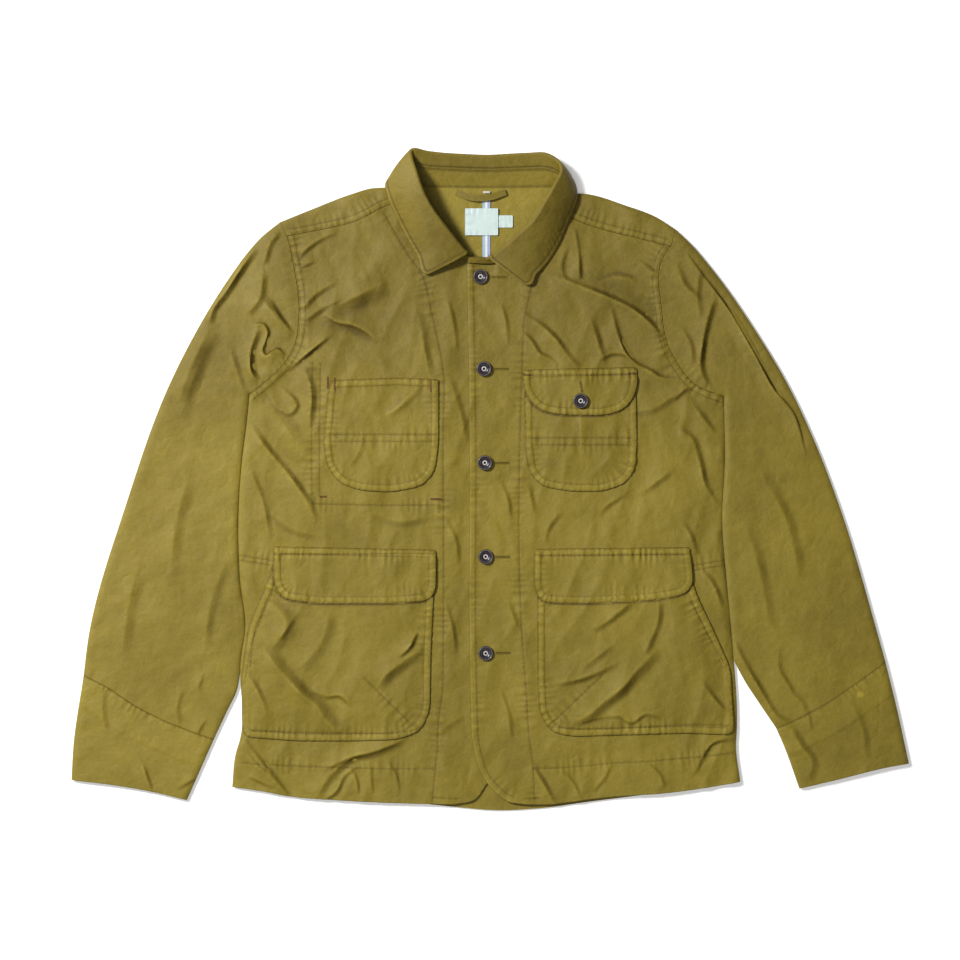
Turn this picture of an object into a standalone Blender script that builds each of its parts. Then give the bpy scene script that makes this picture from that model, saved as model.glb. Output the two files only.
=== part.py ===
"""Waxed cotton jacket, laid flat on its back with the fronts buttoned.

Lengths are in mm and become metres when a mesh is made. X runs to the wearer's left, Y to the
collar and Z up from the surface. Every piece is a cloth wall over an outline; the fronts, the
sleeve tops and the yoke share one resting height, and the folds of the cloth raise or sink it.
"""
import math

import bpy
import numpy as np
from mathutils import Vector
from mathutils.geometry import delaunay_2d_cdt

for old in list(bpy.data.objects):
    bpy.data.objects.remove(old, do_unlink=True)

# ---------------------------------------------------------------- driving sizes, mm
CLOTH = 1.3            # waxed cotton with its turned edges, as one wall
SEAM = 0.2             # a piece stops this far short of the seam line, so two stay 0.4 apart
REST = 5.0             # underside of the fronts, sleeve tops and yoke above the surface
SIDE_DROP = 2.0        # the fronts come down this much at the side seams
SIDE_BAND = 6.0        # over this width
UNDERLAP_DROP = 2.0    # the right front runs this much lower under the left one
STACK = 0.5            # air between a pocket and its front, or a flap and its pocket
FOLD_HEIGHT = 3.1      # middle of a folded edge
LOWEST = 1.9           # no top layer sinks below this
MESH = 30.0            # spacing of the points inside a panel
STEP = 18.0            # and along its edges
OLIVE = (0.29, 0.235, 0.052, 1.0)
BUTTON_BROWN = (0.028, 0.012, 0.017, 1.0)
LABEL_WHITE = (0.68, 0.83, 0.79, 1.0)
TAPE_BLUE = (0.36, 0.47, 0.57, 1.0)

# ---------------------------------------------------------------- seam lines, x and y
# Wearer's right is at -X. Each runs from the neck or the shoulder downward.
SHOULDER_RIGHT = [(-99, 336), (-121, 337), (-137, 336), (-158, 330), (-205, 312), (-242, 297)]
SHOULDER_LEFT = [(87, 331), (115, 329), (154, 317), (191, 303), (213, 289)]
YOKE_SEAM_RIGHT = [(-98, 322), (-118, 316), (-154, 298), (-191, 289), (-234, 281)]
YOKE_SEAM_LEFT = [(76, 311), (104, 297), (135, 287), (172, 278), (208, 270)]
ARMHOLE_RIGHT = [(-242, 297), (-234, 281), (-228, 256), (-220, 190), (-225, 155), (-238, 133),
                 (-257, 115), (-277, 99)]
ARMHOLE_LEFT = [(213, 289), (208, 270), (199, 256), (198, 192), (202, 164), (213, 139),
                (235, 111), (269, 96)]
SIDE_RIGHT = [(-277, 99), (-280, 68), (-286, 20), (-290, -56), (-288, -114), (-282, -172),
              (-287, -205), (-288, -298), (-293, -315), (-297, -353)]
SIDE_LEFT = [(269, 96), (270, 20), (267, -46), (272, -114), (279, -190), (284, -286),
             (283, -305), (288, -347)]
NECK_RIGHT = [(-98, 322), (-88, 313), (-76, 299), (-60, 280), (-40, 263), (-26, 252), (12, 250)]
NECK_LEFT = [(76, 311), (72, 303), (57, 281), (37, 263), (11, 249), (-27, 249)]
NECK_BACK = [(87, 331), (68, 335), (-5, 334), (-73, 335), (-99, 336)]
HEM_RIGHT = [(-297, -353), (-267, -357), (-229, -364), (-178, -368), (-91, -372), (-42, -373)]
CORNER_RIGHT = [(-42, -373), (-17, -367), (-4, -350), (12, -330)]
HEM_LEFT = [(288, -347), (260, -352), (202, -360), (145, -364), (115, -367), (69, -373), (41, -373)]
CORNER_LEFT = [(41, -373), (19, -369), (4, -357), (-7, -344), (-16, -322), (-22, -292)]
FRONT_EDGE = [(-22, -292), (-24, -184), (-24, 46), (-27, 249)]
HEM_BACK = [(-297, -353), (-229, -363), (-91, -371), (-42, -376), (10, -380), (54, -378),
            (115, -370), (202, -359), (288, -347)]
BACK_YOKE_HEIGHT = 215
SLEEVE_LEAVES_RIGHT = -222    # the sleeves' inner folds run along the body's sides down to here
SLEEVE_LEAVES_LEFT = -208
SLEEVE_OUTER_RIGHT = [(-242, 297), (-262, 281), (-284, 256), (-299, 235), (-367, 115),
                      (-419, -27), (-463, -184), (-468, -224)]
SLEEVE_END_RIGHT = [(-291, -240), (-303, -266), (-318, -298)]
SLEEVE_OUTER_LEFT = [(213, 289), (232, 271), (254, 245), (310, 165), (340, 115), (375, 41),
                     (401, -27), (448, -184), (455, -209)]
SLEEVE_END_LEFT = [(293, -231), (310, -257), (329, -285)]
CUFF_SEAM_RIGHT = [(-318, -298), (-341, -290), (-400, -264), (-446, -235), (-468, -224)]
CUFF_SEAM_LEFT = [(329, -285), (344, -279), (372, -265), (413, -239), (455, -209)]
CUFF_OUTER_RIGHT = [(-468, -224), (-480, -308), (-482, -345)]
CUFF_OUTER_LEFT = [(455, -209), (468, -262), (482, -326)]
CUFF_INNER_RIGHT = [(-318, -298), (-349, -368)]
CUFF_INNER_LEFT = [(329, -285), (337, -303), (356, -355)]
CUFF_HEM_RIGHT = [(-349, -368), (-391, -358), (-439, -350), (-482, -345)]
CUFF_HEM_LEFT = [(356, -355), (398, -345), (459, -330), (482, -326)]

# ---------------------------------------------------------------- pockets and flaps
CHEST_RIGHT = [(-184, 115), (-106, 118), (-59, 116), (-59, 45), (-63, 10), (-78, -7), (-113, -14),
               (-150, -12), (-175, -3), (-189, 17), (-192, 46), (-187, 100)]
CHEST_LEFT = [(39, 104), (40, 36), (44, 9), (58, -7), (91, -13), (130, -13), (156, -4), (168, 14),
              (169, 45), (168, 104)]
CHEST_FLAP = [(37, 127), (37, 108), (43, 94), (56, 80), (78, 75), (130, 74), (150, 79), (163, 90),
              (170, 108), (169, 130)]
HAND_RIGHT = [(-250, -94), (-63, -94), (-68, -203), (-69, -265), (-80, -289), (-105, -298),
              (-155, -300), (-223, -300), (-285, -295), (-286, -226), (-279, -170), (-253, -108)]
HAND_LEFT = [(54, -94), (54, -222), (56, -268), (70, -290), (96, -295), (152, -293), (224, -291),
             (281, -293), (277, -217), (261, -181), (236, -128), (228, -94)]
FLAP_RIGHT = [(-250, -76), (-62, -80), (-62, -128), (-70, -139), (-118, -142), (-198, -142),
              (-238, -137), (-249, -122)]
FLAP_LEFT = [(50, -79), (50, -128), (60, -141), (110, -142), (188, -138), (224, -132), (234, -120),
             (230, -77)]

# ---------------------------------------------------------------- largest folds in the cloth
# x and y of the start, middle and end, half width, height: a ridge above 0, a trough below
SLEEVE_RIGHT_FOLDS = [
    (-239, 286, -299, 210, -366, 69, 26, -2.6),
    (-361, 79, -391, 0, -417, -80, 22, -2.2),
    (-262, 207, -316, 92, -357, -11, 30, 2.6),
    (-276, 179, -258, 158, -239, 148, 12, 3.4),
    (-304, -92, -320, -161, -338, -216, 20, 1.6),
]
SLEEVE_LEFT_FOLDS = [
    (218, 265, 278, 188, 325, 106, 20, -2.6),
    (322, 111, 348, 75, 361, 29, 18, -2.2),
    (269, 190, 257, 150, 262, 106, 14, 3.2),
    (329, 150, 379, 23, 414, -92, 28, 2.4),
    (301, 12, 319, -69, 329, -149, 22, 1.8),
]
FRONT_RIGHT_FOLDS = [
    (-181, 188, -138, 211, -100, 238, 24, -2.6),
    (-230, 126, -207, 146, -187, 165, 13, -2.2),
    (-198, 225, -170, 207, -136, 187, 18, 2.6),
    (-280, 80, -267, 44, -242, 11, 15, -2.0),
    (-113, -318, -167, -330, -197, -352, 13, -1.8),
]
FRONT_LEFT_FOLDS = [
    (77, 237, 123, 215, 172, 190, 22, -2.8),
    (168, 192, 193, 172, 207, 146, 18, -2.6),
    (87, 212, 131, 187, 177, 161, 24, 3.2),
    (98, 304, 102, 269, 107, 230, 15, -2.2),
    (230, 49, 244, 6, 264, -30, 15, -2.0),
]
POCKET_RIGHT_FOLDS = [
    (-262, -201, -235, -241, -198, -255, 14, 2.4),
    (-76, -191, -101, -209, -127, -229, 14, 2.0),
]
POCKET_LEFT_FOLDS = [
    (193, -199, 152, -237, 91, -279, 17, 2.6),
    (195, -145, 192, -170, 178, -193, 13, 1.8),
]

# ---------------------------------------------------------------- collar stations
# from the right front round the back neck to the left front: neck seam, roll line and the
# leaf's free edge, each x, y, z on the face toward the neck
STATIONS = [
    # neck seam          roll                free edge
    ((-8, 252.5, 3.4), (-8, 260, 4.5), (-8, 260, 4.5)),
    ((-26, 255, 4.2), (-22.5, 265.5, 7.7), (-22.5, 265.5, 7.7)),
    ((-38.5, 265, 5.2), (-34, 271, 17), (-68, 236, 10)),
    ((-59, 281, 5.6), (-49, 288, 25), (-82, 257, 9.4)),
    ((-74.6, 300, 5.6), (-63, 307, 29), (-97, 281, 9.2)),
    ((-86.5, 315.5, 5.2), (-74, 326, 31), (-108, 303, 9.2)),
    ((-95, 329, 4.4), (-83, 350, 28), (-117, 324, 9)),
    ((-85, 339, 2.8), (-90, 379, 18), (-119, 344, 6)),
    ((-70, 337, 2.0), (-70, 378, 13), (-93, 352, 1.4)),
    ((-46, 336.5, 2.0), (-46, 376, 11.5), (-55, 347, 0.6)),
    ((-3, 336, 2.0), (-3, 374, 11), (-3, 346, 0.6)),
    ((40, 336.5, 2.0), (40, 376, 11.5), (48, 347, 0.6)),
    ((66, 337, 2.4), (63, 376, 14), (84, 352, 1.4)),
    ((83, 336, 3.2), (77, 367, 19), (97, 343, 5)),
    ((82, 328, 4.6), (81, 355, 25), (100, 325, 9)),
    ((75.5, 319, 5.4), (73, 338, 28), (96, 311, 9.2)),
    ((69.5, 305, 5.6), (62, 319, 29), (89, 295, 9.2)),
    ((56.8, 284.5, 5.6), (50, 299, 27), (79, 272, 9.4)),
    ((41, 268.5, 5.6), (32, 282, 23), (66, 251, 9.4)),
    ((17, 254.5, 6.0), (12, 266, 17), (50, 234, 10)),
    ((2, 250.3, 6.6), (1, 260, 15), (40, 225, 10.6)),
    ((-26, 250.3, 6.6), (-24.5, 262, 10.8), (-24.5, 262, 10.8)),
]
STAND_SHARE = 0.57       # of the way from the neck seam to the roll
LEAF_FROM = 2            # the leaf runs between these stations, the stand between all of them
LEAF_TO = 20
ROLL_RADIUS = 2.6
LEAF_GAP = 0.9           # between the stand's top and the leaf
LEAF_BULGE = 3.0         # how far the fall of the leaf bows out from a straight line

# ---------------------------------------------------------------- buttons and small pieces
BUTTON_RADIUS = 8.6
# radius and height of the turned face, from the back to the middle of the front
BUTTON_PROFILE = [(7.2, 0.0), (8.6, 1.2), (8.6, 2.6), (7.4, 3.6), (6.0, 3.4), (4.6, 2.2), (2.4, 2.2)]
BUTTON_SIDES = 14
FRONT_BUTTONS = [(-11, 234), (-7, 128), (-6, 20), (-5, -88), (-5, -199)]
FLAP_BUTTON = (104, 91)
TAPE = (-9, 257, 0, 323)              # x and y of two opposite corners
LABEL = (-29, 282, 9, 313)
SIZE_TAB = (5, 291, 26, 305)
LOOP_CENTRE = [(-39, 331.5), (-24, 325.5), (0, 325.5), (18, 331.5)]
LOOP_WIDTH = 7.0


# ---------------------------------------------------------------- lines and distances
def smooth(points, step):
    """Evenly spaced points on a smooth curve through the given ones."""
    points = np.array(points, float)
    along = np.concatenate(([0.0], np.cumsum(np.linalg.norm(np.diff(points, axis=0), axis=1))))
    slope = np.gradient(points, along, axis=0)
    count = max(1, round(along[-1] / step))
    curve = []
    for place in np.linspace(0.0, along[-1], count + 1):
        k = min(int(np.searchsorted(along, place, "right")) - 1, len(points) - 2)
        length = along[k + 1] - along[k]
        t = (place - along[k]) / length
        curve.append(points[k] * (1 + 2 * t) * (1 - t) ** 2 + points[k + 1] * t * t * (3 - 2 * t)
                     + slope[k] * length * t * (1 - t) ** 2 - slope[k + 1] * length * t * t * (1 - t))
    return np.array(curve)


def nearest(points, line):
    """Distance of each point from a polyline, and how far along it the nearest place is, 0 to 1."""
    start, run = line[:-1], np.diff(line, axis=0)
    length = np.linalg.norm(run, axis=1)
    before = np.concatenate(([0.0], np.cumsum(length)[:-1]))
    away = points[:, None, :] - start[None, :, :]
    t = np.clip((away * run).sum(axis=2) / length ** 2, 0.0, 1.0)
    gap = np.linalg.norm(away - t[:, :, None] * run, axis=2)
    k = gap.argmin(axis=1)
    row = np.arange(len(points))
    return gap[row, k], (before[k] + t[row, k] * length[k]) / length.sum()


def inside(points, loop):
    """Which points lie inside a closed loop."""
    x, y = points[:, :1], points[:, 1:]
    x1, y1 = loop[:, 0], loop[:, 1]
    x2, y2 = np.roll(x1, -1), np.roll(y1, -1)
    spans = (y1 > y) != (y2 > y)
    rise = np.where(y2 == y1, 1.0, y2 - y1)
    crosses = spans & (x < (x2 - x1) * (y - y1) / rise + x1)
    return crosses.sum(axis=1) % 2 == 1


def depth(points, loop):
    """Distance from a closed loop, positive inside it."""
    gap, _ = nearest(points, np.vstack((loop, loop[:1])))
    return np.where(inside(points, loop), gap, -gap)


def inset(loop, distance):
    """A closed anticlockwise loop moved inward, or outward where the distance is below 0."""
    run = np.roll(loop, -1, axis=0) - loop
    run /= np.linalg.norm(run, axis=1)[:, None]
    after = np.stack((-run[:, 1], run[:, 0]), axis=1)
    before = np.roll(after, 1, axis=0)
    spread = 1.0 + (after * before).sum(axis=1)
    return loop + distance * (after + before) / np.maximum(spread, 0.5)[:, None]


def ramp(value, low, high):
    """0 below low, 1 above high, and smooth between them."""
    t = np.clip((value - low) / (high - low), 0.0, 1.0)
    return t * t * (3.0 - 2.0 * t)


# ---------------------------------------------------------------- outlines
def anticlockwise(points):
    x, y = points[:, 0], points[:, 1]
    area = (x * np.roll(y, -1) - np.roll(x, -1) * y).sum()
    return points if area > 0 else points[::-1]


def rounded(points, step=14.0):
    """A closed pocket or flap outline through its corner points, anticlockwise."""
    loop = anticlockwise(np.array(points, float))
    lines = [smooth(loop[[k - 1, k]], step)[:-1] for k in range(len(loop))]
    return np.vstack(lines)


def pattern(edges):
    """An outline from lines that run end to end, anticlockwise, and which of its points are folds.

    Each edge is (line, is_fold). Every piece keeps off its seam lines by the same small distance.
    """
    lines = [line[:-1] for line, _ in edges]
    folds = [np.full(len(line) - 1, is_fold) for line, is_fold in edges]
    loop, fold = np.vstack(lines), np.concatenate(folds)
    fold |= np.roll(fold, 1)
    return inset(loop, SEAM), fold


def at_height(line, height):
    """Which point of a line is nearest to a height."""
    return int(np.abs(line[:, 1] - height).argmin())


# ---------------------------------------------------------------- heights
POCKETS = [rounded(shape) for shape in (CHEST_RIGHT, CHEST_LEFT, HAND_RIGHT, HAND_LEFT)]
FLAPS = [rounded(shape) for shape in (CHEST_FLAP, FLAP_RIGHT, FLAP_LEFT)]
SIDES = [smooth(SIDE_RIGHT, 20.0), smooth(SIDE_LEFT, 20.0)]
COLLAR_EDGE = [smooth([row[2][:2] for row in STATIONS[LEAF_FROM:LEAF_TO + 1]], 10.0)]


def folds_height(points, rows):
    """Height that the named folds add at each point."""
    height = np.zeros(len(points))
    for x0, y0, xm, ym, x1, y1, width, rise in rows:
        gap, along = nearest(points, smooth([(x0, y0), (xm, ym), (x1, y1)], 8.0))
        across = 0.5 + 0.5 * np.cos(math.pi * np.minimum(gap / width, 1.0))
        height += rise * across * np.sin(math.pi * np.clip(along, 0.04, 0.96)) ** 0.6
    return height


def clear_of(points, loops, margin):
    """1 away from the loops, 0 in them and within the margin round them."""
    keep = np.ones(len(points))
    for loop in loops:
        keep = np.minimum(keep, ramp(-depth(points, loop), margin, margin + 8.0))
    return keep


def panel_under(points, rows=()):
    """Underside of a front, the yoke or a sleeve top."""
    height = np.full(len(points), REST)
    if len(rows):
        keep = clear_of(points, POCKETS + FLAPS, 3.0)
        keep = np.minimum(keep, clear_of(points, [COLLAR_EDGE[0]], 4.0))
        height += folds_height(points, rows) * keep
    return np.maximum(height, LOWEST)


def front_under(points, rows=()):
    """Underside of the left front: it comes down at the side seams."""
    gap = np.minimum(nearest(points, SIDES[0])[0], nearest(points, SIDES[1])[0])
    return panel_under(points, rows) - SIDE_DROP * (1.0 - np.minimum(gap / SIDE_BAND, 1.0))


def underlap(points, rows=()):
    """Underside of the right front, which sinks beneath the left front's edge."""
    sink = ramp(points[:, 0], -50.0, -29.0)
    height = front_under(points, rows)
    return height * (1.0 - sink) + (REST - UNDERLAP_DROP) * sink


def pocket_under(points, loop, flaps, puff, rows=()):
    """Underside of a pocket on a front: it fills out away from its stitched edges."""
    stitched = ramp(depth(points, loop), 7.0, 30.0) * clear_of(points, flaps, 6.0)
    height = puff * stitched + folds_height(points, rows) * stitched
    return front_under(points) + CLOTH + STACK + np.maximum(height, 0.0)


def flap_under(points, top):
    """Underside of a flap: it steps over the pocket's mouth below its own seam."""
    below = ramp(top - points[:, 1], 4.0, 11.0)
    return front_under(points) + CLOTH + STACK + below * (CLOTH + STACK + 0.3)


# ---------------------------------------------------------------- solids
def material(name, colour, roughness):
    made = bpy.data.materials.new(name)
    made.use_nodes = True
    shader = made.node_tree.nodes["Principled BSDF"]
    shader.inputs["Base Color"].default_value = colour
    shader.inputs["Roughness"].default_value = roughness
    shader.inputs["Metallic"].default_value = 0.0
    return made


def closed_wall(name, outer, inner, faces, finish):
    """One closed body from an open surface: its outer points, its inner ones and its triangles."""
    count = len(outer)
    used = {}
    for a, b, c in faces:
        for edge in ((a, b), (b, c), (c, a)):
            used[edge] = True
    rims = [(a, b) for a, b in used if (b, a) not in used]
    skin = [tuple(face) for face in faces]
    skin += [(c + count, b + count, a + count) for a, b, c in faces]
    skin += [(b, a, a + count, b + count) for a, b in rims]
    mesh = bpy.data.meshes.new(name)
    places = np.vstack((outer, inner)) * 0.001
    mesh.from_pydata([tuple(place) for place in places], [], skin)
    mesh.materials.append(finish)
    mesh.shade_smooth()
    mesh.set_sharp_from_angle(angle=math.radians(40))
    made = bpy.data.objects.new(name, mesh)
    bpy.context.scene.collection.objects.link(made)
    return made


def fold_guides(rows):
    """Points along the folds' crests and feet, so that the mesh bends where the cloth does."""
    guides = []
    for x0, y0, xm, ym, x1, y1, width, _ in rows:
        line = smooth([(x0, y0), (xm, ym), (x1, y1)], 15.0)
        run = np.gradient(line, axis=0)
        side = np.stack((-run[:, 1], run[:, 0]), axis=1) / np.linalg.norm(run, axis=1)[:, None]
        for share in (0.0, 0.5, -0.5, 1.0, -1.0):
            guides.append(line + side * share * width)
    return guides


def fill(loop, mesh_step, guides=(), rings=()):
    """Points and triangles over a closed outline. Triangles don't cross a ring."""
    points = [loop]
    edges = [(k, (k + 1) % len(loop)) for k in range(len(loop))]
    for ring in rings:
        ring = ring[depth(ring, loop) > 2.0]
        if len(ring) < 3:
            continue
        first = sum(len(part) for part in points)
        points.append(ring)
        near = np.linalg.norm(np.roll(ring, -1, axis=0) - ring, axis=1) < 2.0 * mesh_step
        edges += [(first + k, first + (k + 1) % len(ring)) for k in range(len(ring)) if near[k]]
    low, high = loop.min(axis=0), loop.max(axis=0)
    rows = np.arange(low[1] + 0.5 * mesh_step, high[1], mesh_step * 0.866)
    grid = [(x, y) for k, y in enumerate(rows)
            for x in np.arange(low[0] + (0.5 if k % 2 else 0.25) * mesh_step, high[0], mesh_step)]
    spread = [(np.array(grid), 0.62 * mesh_step)] if grid else []
    for group, room in [(guide, 6.0) for guide in guides] + spread:
        group = group[depth(group, loop) > 0.5 * room]
        taken = np.vstack(points)
        keep = [place for place in group if np.linalg.norm(taken - place, axis=1).min() > room]
        if keep:
            points.append(np.array(keep))
    points = np.vstack(points)
    outline = list(range(len(loop)))
    result = delaunay_2d_cdt([Vector(place) for place in points], edges, [outline], 1, 1e-6)
    filled = np.array([tuple(place) for place in result[0]])
    return filled, [tuple(face) for face in result[2]]


def sheet(name, loop, under, finish, thick=CLOTH, step=MESH, guides=(), rings=()):
    """A single layer of cloth over an outline."""
    points, faces = fill(loop, step, guides, rings)
    low = under(points)
    return closed_wall(name, np.column_stack((points, low + thick)), np.column_stack((points, low)),
                       faces, finish)


def folded(name, layers, finish, guides=()):
    """Cloth whose upper and lower layers share the points on their folds.

    Each layer is (outline, which points are folds, its underside or None where it lies on the
    surface).
    """
    outer, inner, faces, shared = [], [], [], []
    for loop, fold, under in layers:
        points, triangles = fill(loop, MESH if under else 2 * MESH, guides if under else (),
                                 [inset(loop, 4.0)[fold]])
        inward = inset(loop, CLOTH)
        place = {}
        lifted = under(points) if under else np.zeros(len(points))
        for k, (x, y) in enumerate(points):
            on_fold = k < len(loop) and fold[k]
            met = [n for n in shared if on_fold and math.dist(outer[n][:2], (x, y)) < 1.5]
            if met:
                place[k] = met[0]
                continue
            place[k] = len(outer)
            if on_fold:
                shared.append(len(outer))
                outer.append((x, y, FOLD_HEIGHT))
                inner.append((inward[k][0], inward[k][1], FOLD_HEIGHT))
            elif under:
                outer.append((x, y, lifted[k] + CLOTH))
                inner.append((x, y, lifted[k]))
            else:
                outer.append((x, y, 0.0))
                inner.append((x, y, CLOTH))
        for a, b, c in triangles:
            corner = (place[a], place[b], place[c])
            faces.append(corner if under else corner[::-1])
    return closed_wall(name, np.array(outer), np.array(inner), faces, finish)


def grid_wall(name, rows, thick, finish):
    """Cloth over a grid of points, thickened away from its visible face."""
    across = np.gradient(rows, axis=0)
    along = np.gradient(rows, axis=1)
    normal = np.cross(across, along)
    normal /= np.linalg.norm(normal, axis=2)[:, :, None]
    count_u, count_v = rows.shape[:2]
    faces = []
    for i in range(count_u - 1):
        for j in range(count_v - 1):
            a, b = i * count_v + j, (i + 1) * count_v + j
            faces.append((a, b, b + 1))
            faces.append((a, b + 1, a + 1))
    outer = rows.reshape(-1, 3)
    inner = (rows - normal * thick).reshape(-1, 3)
    return closed_wall(name, outer, inner, faces, finish)


# ---------------------------------------------------------------- collar
def station(place, seam):
    """A point on one of the collar's lines, between stations where place isn't whole."""
    line = np.array([row[seam] for row in STATIONS], float)
    slope = np.gradient(line, axis=0)
    k = min(int(place), len(line) - 2)
    t = place - k
    return (line[k] * (1 + 2 * t) * (1 - t) ** 2 + line[k + 1] * t * t * (3 - 2 * t)
            + slope[k] * t * (1 - t) ** 2 - slope[k + 1] * t * t * (1 - t))


def roll_turn(place):
    """The round of the leaf at its roll, from the face toward the neck to the fall."""
    neck, roll, edge = (station(place, seam) for seam in range(3))
    along = station(min(place + 0.1, LEAF_TO), 1) - station(max(place - 0.1, LEAF_FROM), 1)
    along /= np.linalg.norm(along)
    middle = ((neck - roll) / np.linalg.norm(neck - roll)
              + (edge - roll) / np.linalg.norm(edge - roll))
    middle -= middle.dot(along) * along
    middle /= np.linalg.norm(middle)
    aside = np.cross(middle, along)
    centre = roll + ROLL_RADIUS * middle
    return [centre + ROLL_RADIUS * (math.cos(a) * aside - math.sin(a) * middle)
            for a in np.radians((0, 45, 90, 135, 180))]


def stand_top(place):
    neck = station(place, 0)
    has_leaf = LEAF_FROM <= place <= LEAF_TO
    top = roll_turn(place)[0] if has_leaf else station(place, 1)
    return neck + STAND_SHARE * (top - neck)


def leaf_section(place):
    """Across the leaf: up from the stand, over the roll and down to the free edge."""
    turn = roll_turn(place)
    top, edge = stand_top(place), station(place, 2)
    rise = turn[0] - top
    start = top + rise * LEAF_GAP / np.linalg.norm(rise)
    fall = edge - turn[-1]
    bow = turn[2] - 0.5 * (turn[0] + turn[-1]) + turn[-1] - turn[0]
    bow -= fall * bow.dot(fall) / fall.dot(fall)
    bow *= LEAF_BULGE / np.linalg.norm(bow)
    section = [start, 0.5 * (start + turn[0])] + turn
    for t in (0.2, 0.4, 0.6, 0.8, 1.0):
        section.append(turn[-1] + fall * t + bow * 4 * t * (1 - t))
    return section


def collar(finish):
    places = np.arange(0.0, len(STATIONS) - 0.99, 0.5)
    share = np.linspace(0.0, 1.0, 3)[:, None]
    stand = [station(k, 0) * (1 - share) + stand_top(k) * share for k in places]
    grid_wall("collar_stand", np.array(stand), CLOTH, finish)
    leaf = [leaf_section(k) for k in places if LEAF_FROM <= k <= LEAF_TO]
    grid_wall("collar_leaf", np.array(leaf), CLOTH, finish)


# ---------------------------------------------------------------- panels
class Seams:
    """The jacket's seam lines as points that the pieces on both sides share."""

    def __init__(self, armhole, sides, shoulder, yoke, neck, leaves, sleeve_end):
        self.armhole = smooth(armhole, STEP)
        self.side = smooth(sides, STEP)
        self.shoulder = smooth(shoulder, STEP)
        self.neck = smooth(neck, STEP)
        self.front_yoke = at_height(self.armhole, yoke[-1][1])
        self.back_yoke = at_height(self.armhole, BACK_YOKE_HEIGHT)
        self.yoke = smooth(yoke[:-1] + [tuple(self.armhole[self.front_yoke])], STEP)
        leaves_at = at_height(self.side, leaves)
        free = smooth([tuple(self.side[leaves_at])] + sleeve_end, STEP)
        self.sleeve_inner = np.vstack((self.side[:leaves_at], free))


RIGHT = Seams(ARMHOLE_RIGHT, SIDE_RIGHT, SHOULDER_RIGHT, YOKE_SEAM_RIGHT, NECK_RIGHT,
              SLEEVE_LEAVES_RIGHT, SLEEVE_END_RIGHT)
LEFT = Seams(ARMHOLE_LEFT, SIDE_LEFT, SHOULDER_LEFT, YOKE_SEAM_LEFT, NECK_LEFT,
             SLEEVE_LEAVES_LEFT, SLEEVE_END_LEFT)


def body(finish):
    yoke_right, yoke_left = RIGHT.armhole[RIGHT.back_yoke], LEFT.armhole[LEFT.back_yoke]
    back_seam = smooth([yoke_right, yoke_left], STEP)
    loop, _ = pattern([(smooth(HEM_BACK, STEP), False), (LEFT.side[::-1], False),
                       (LEFT.armhole[LEFT.back_yoke:][::-1], False), (back_seam[::-1], False),
                       (RIGHT.armhole[RIGHT.back_yoke:], False), (RIGHT.side, False)])
    sheet("back", loop, lambda points: np.zeros(len(points)), finish, step=2 * MESH)

    over_back = pattern([(back_seam, False), (LEFT.armhole[:LEFT.back_yoke + 1][::-1], False),
                         (LEFT.shoulder[::-1], True), (smooth(NECK_BACK, STEP), False),
                         (RIGHT.shoulder, True), (RIGHT.armhole[:RIGHT.back_yoke + 1], False)])
    over_right = pattern([(RIGHT.yoke[::-1], False),
                          (smooth([YOKE_SEAM_RIGHT[0], SHOULDER_RIGHT[0]], STEP), False),
                          (RIGHT.shoulder, True), (RIGHT.armhole[:RIGHT.front_yoke + 1], False)])
    over_left = pattern([(LEFT.yoke, False), (LEFT.armhole[:LEFT.front_yoke + 1][::-1], False),
                         (LEFT.shoulder[::-1], True),
                         (smooth([SHOULDER_LEFT[0], YOKE_SEAM_LEFT[0]], STEP), False)])
    folded("yoke", [(*over_back, None), (*over_right, panel_under), (*over_left, panel_under)],
           finish)

    rings = [inset(loop, -2.0) for loop in POCKETS + FLAPS]
    hidden_edge = smooth([CORNER_RIGHT[-1], NECK_RIGHT[-1]], STEP)
    loop, _ = pattern([(smooth(HEM_RIGHT, STEP), False), (smooth(CORNER_RIGHT, STEP), False),
                       (hidden_edge, False), (RIGHT.neck[::-1], False), (RIGHT.yoke, False),
                       (RIGHT.armhole[RIGHT.front_yoke:], False), (RIGHT.side, False)])
    sheet("front_right", loop, lambda points: underlap(points, FRONT_RIGHT_FOLDS), finish,
          guides=fold_guides(FRONT_RIGHT_FOLDS), rings=rings)
    loop, _ = pattern([(smooth(FRONT_EDGE, STEP)[::-1], False),
                       (smooth(CORNER_LEFT, STEP)[::-1], False),
                       (smooth(HEM_LEFT, STEP)[::-1], False), (LEFT.side[::-1], False),
                       (LEFT.armhole[LEFT.front_yoke:][::-1], False), (LEFT.yoke[::-1], False),
                       (LEFT.neck, False)])
    sheet("front_left", loop, lambda points: front_under(points, FRONT_LEFT_FOLDS), finish,
          guides=fold_guides(FRONT_LEFT_FOLDS), rings=rings)


def tube(name, edges, rows, finish):
    """A flattened sleeve or cuff: open at both ends, folded along its two sides."""
    loop, fold = pattern([(line, k % 2 == 1) for k, line in enumerate(edges)])
    folded(name, [(loop, fold, None), (loop, fold, lambda points: panel_under(points, rows))],
           finish, fold_guides(rows))


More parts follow.
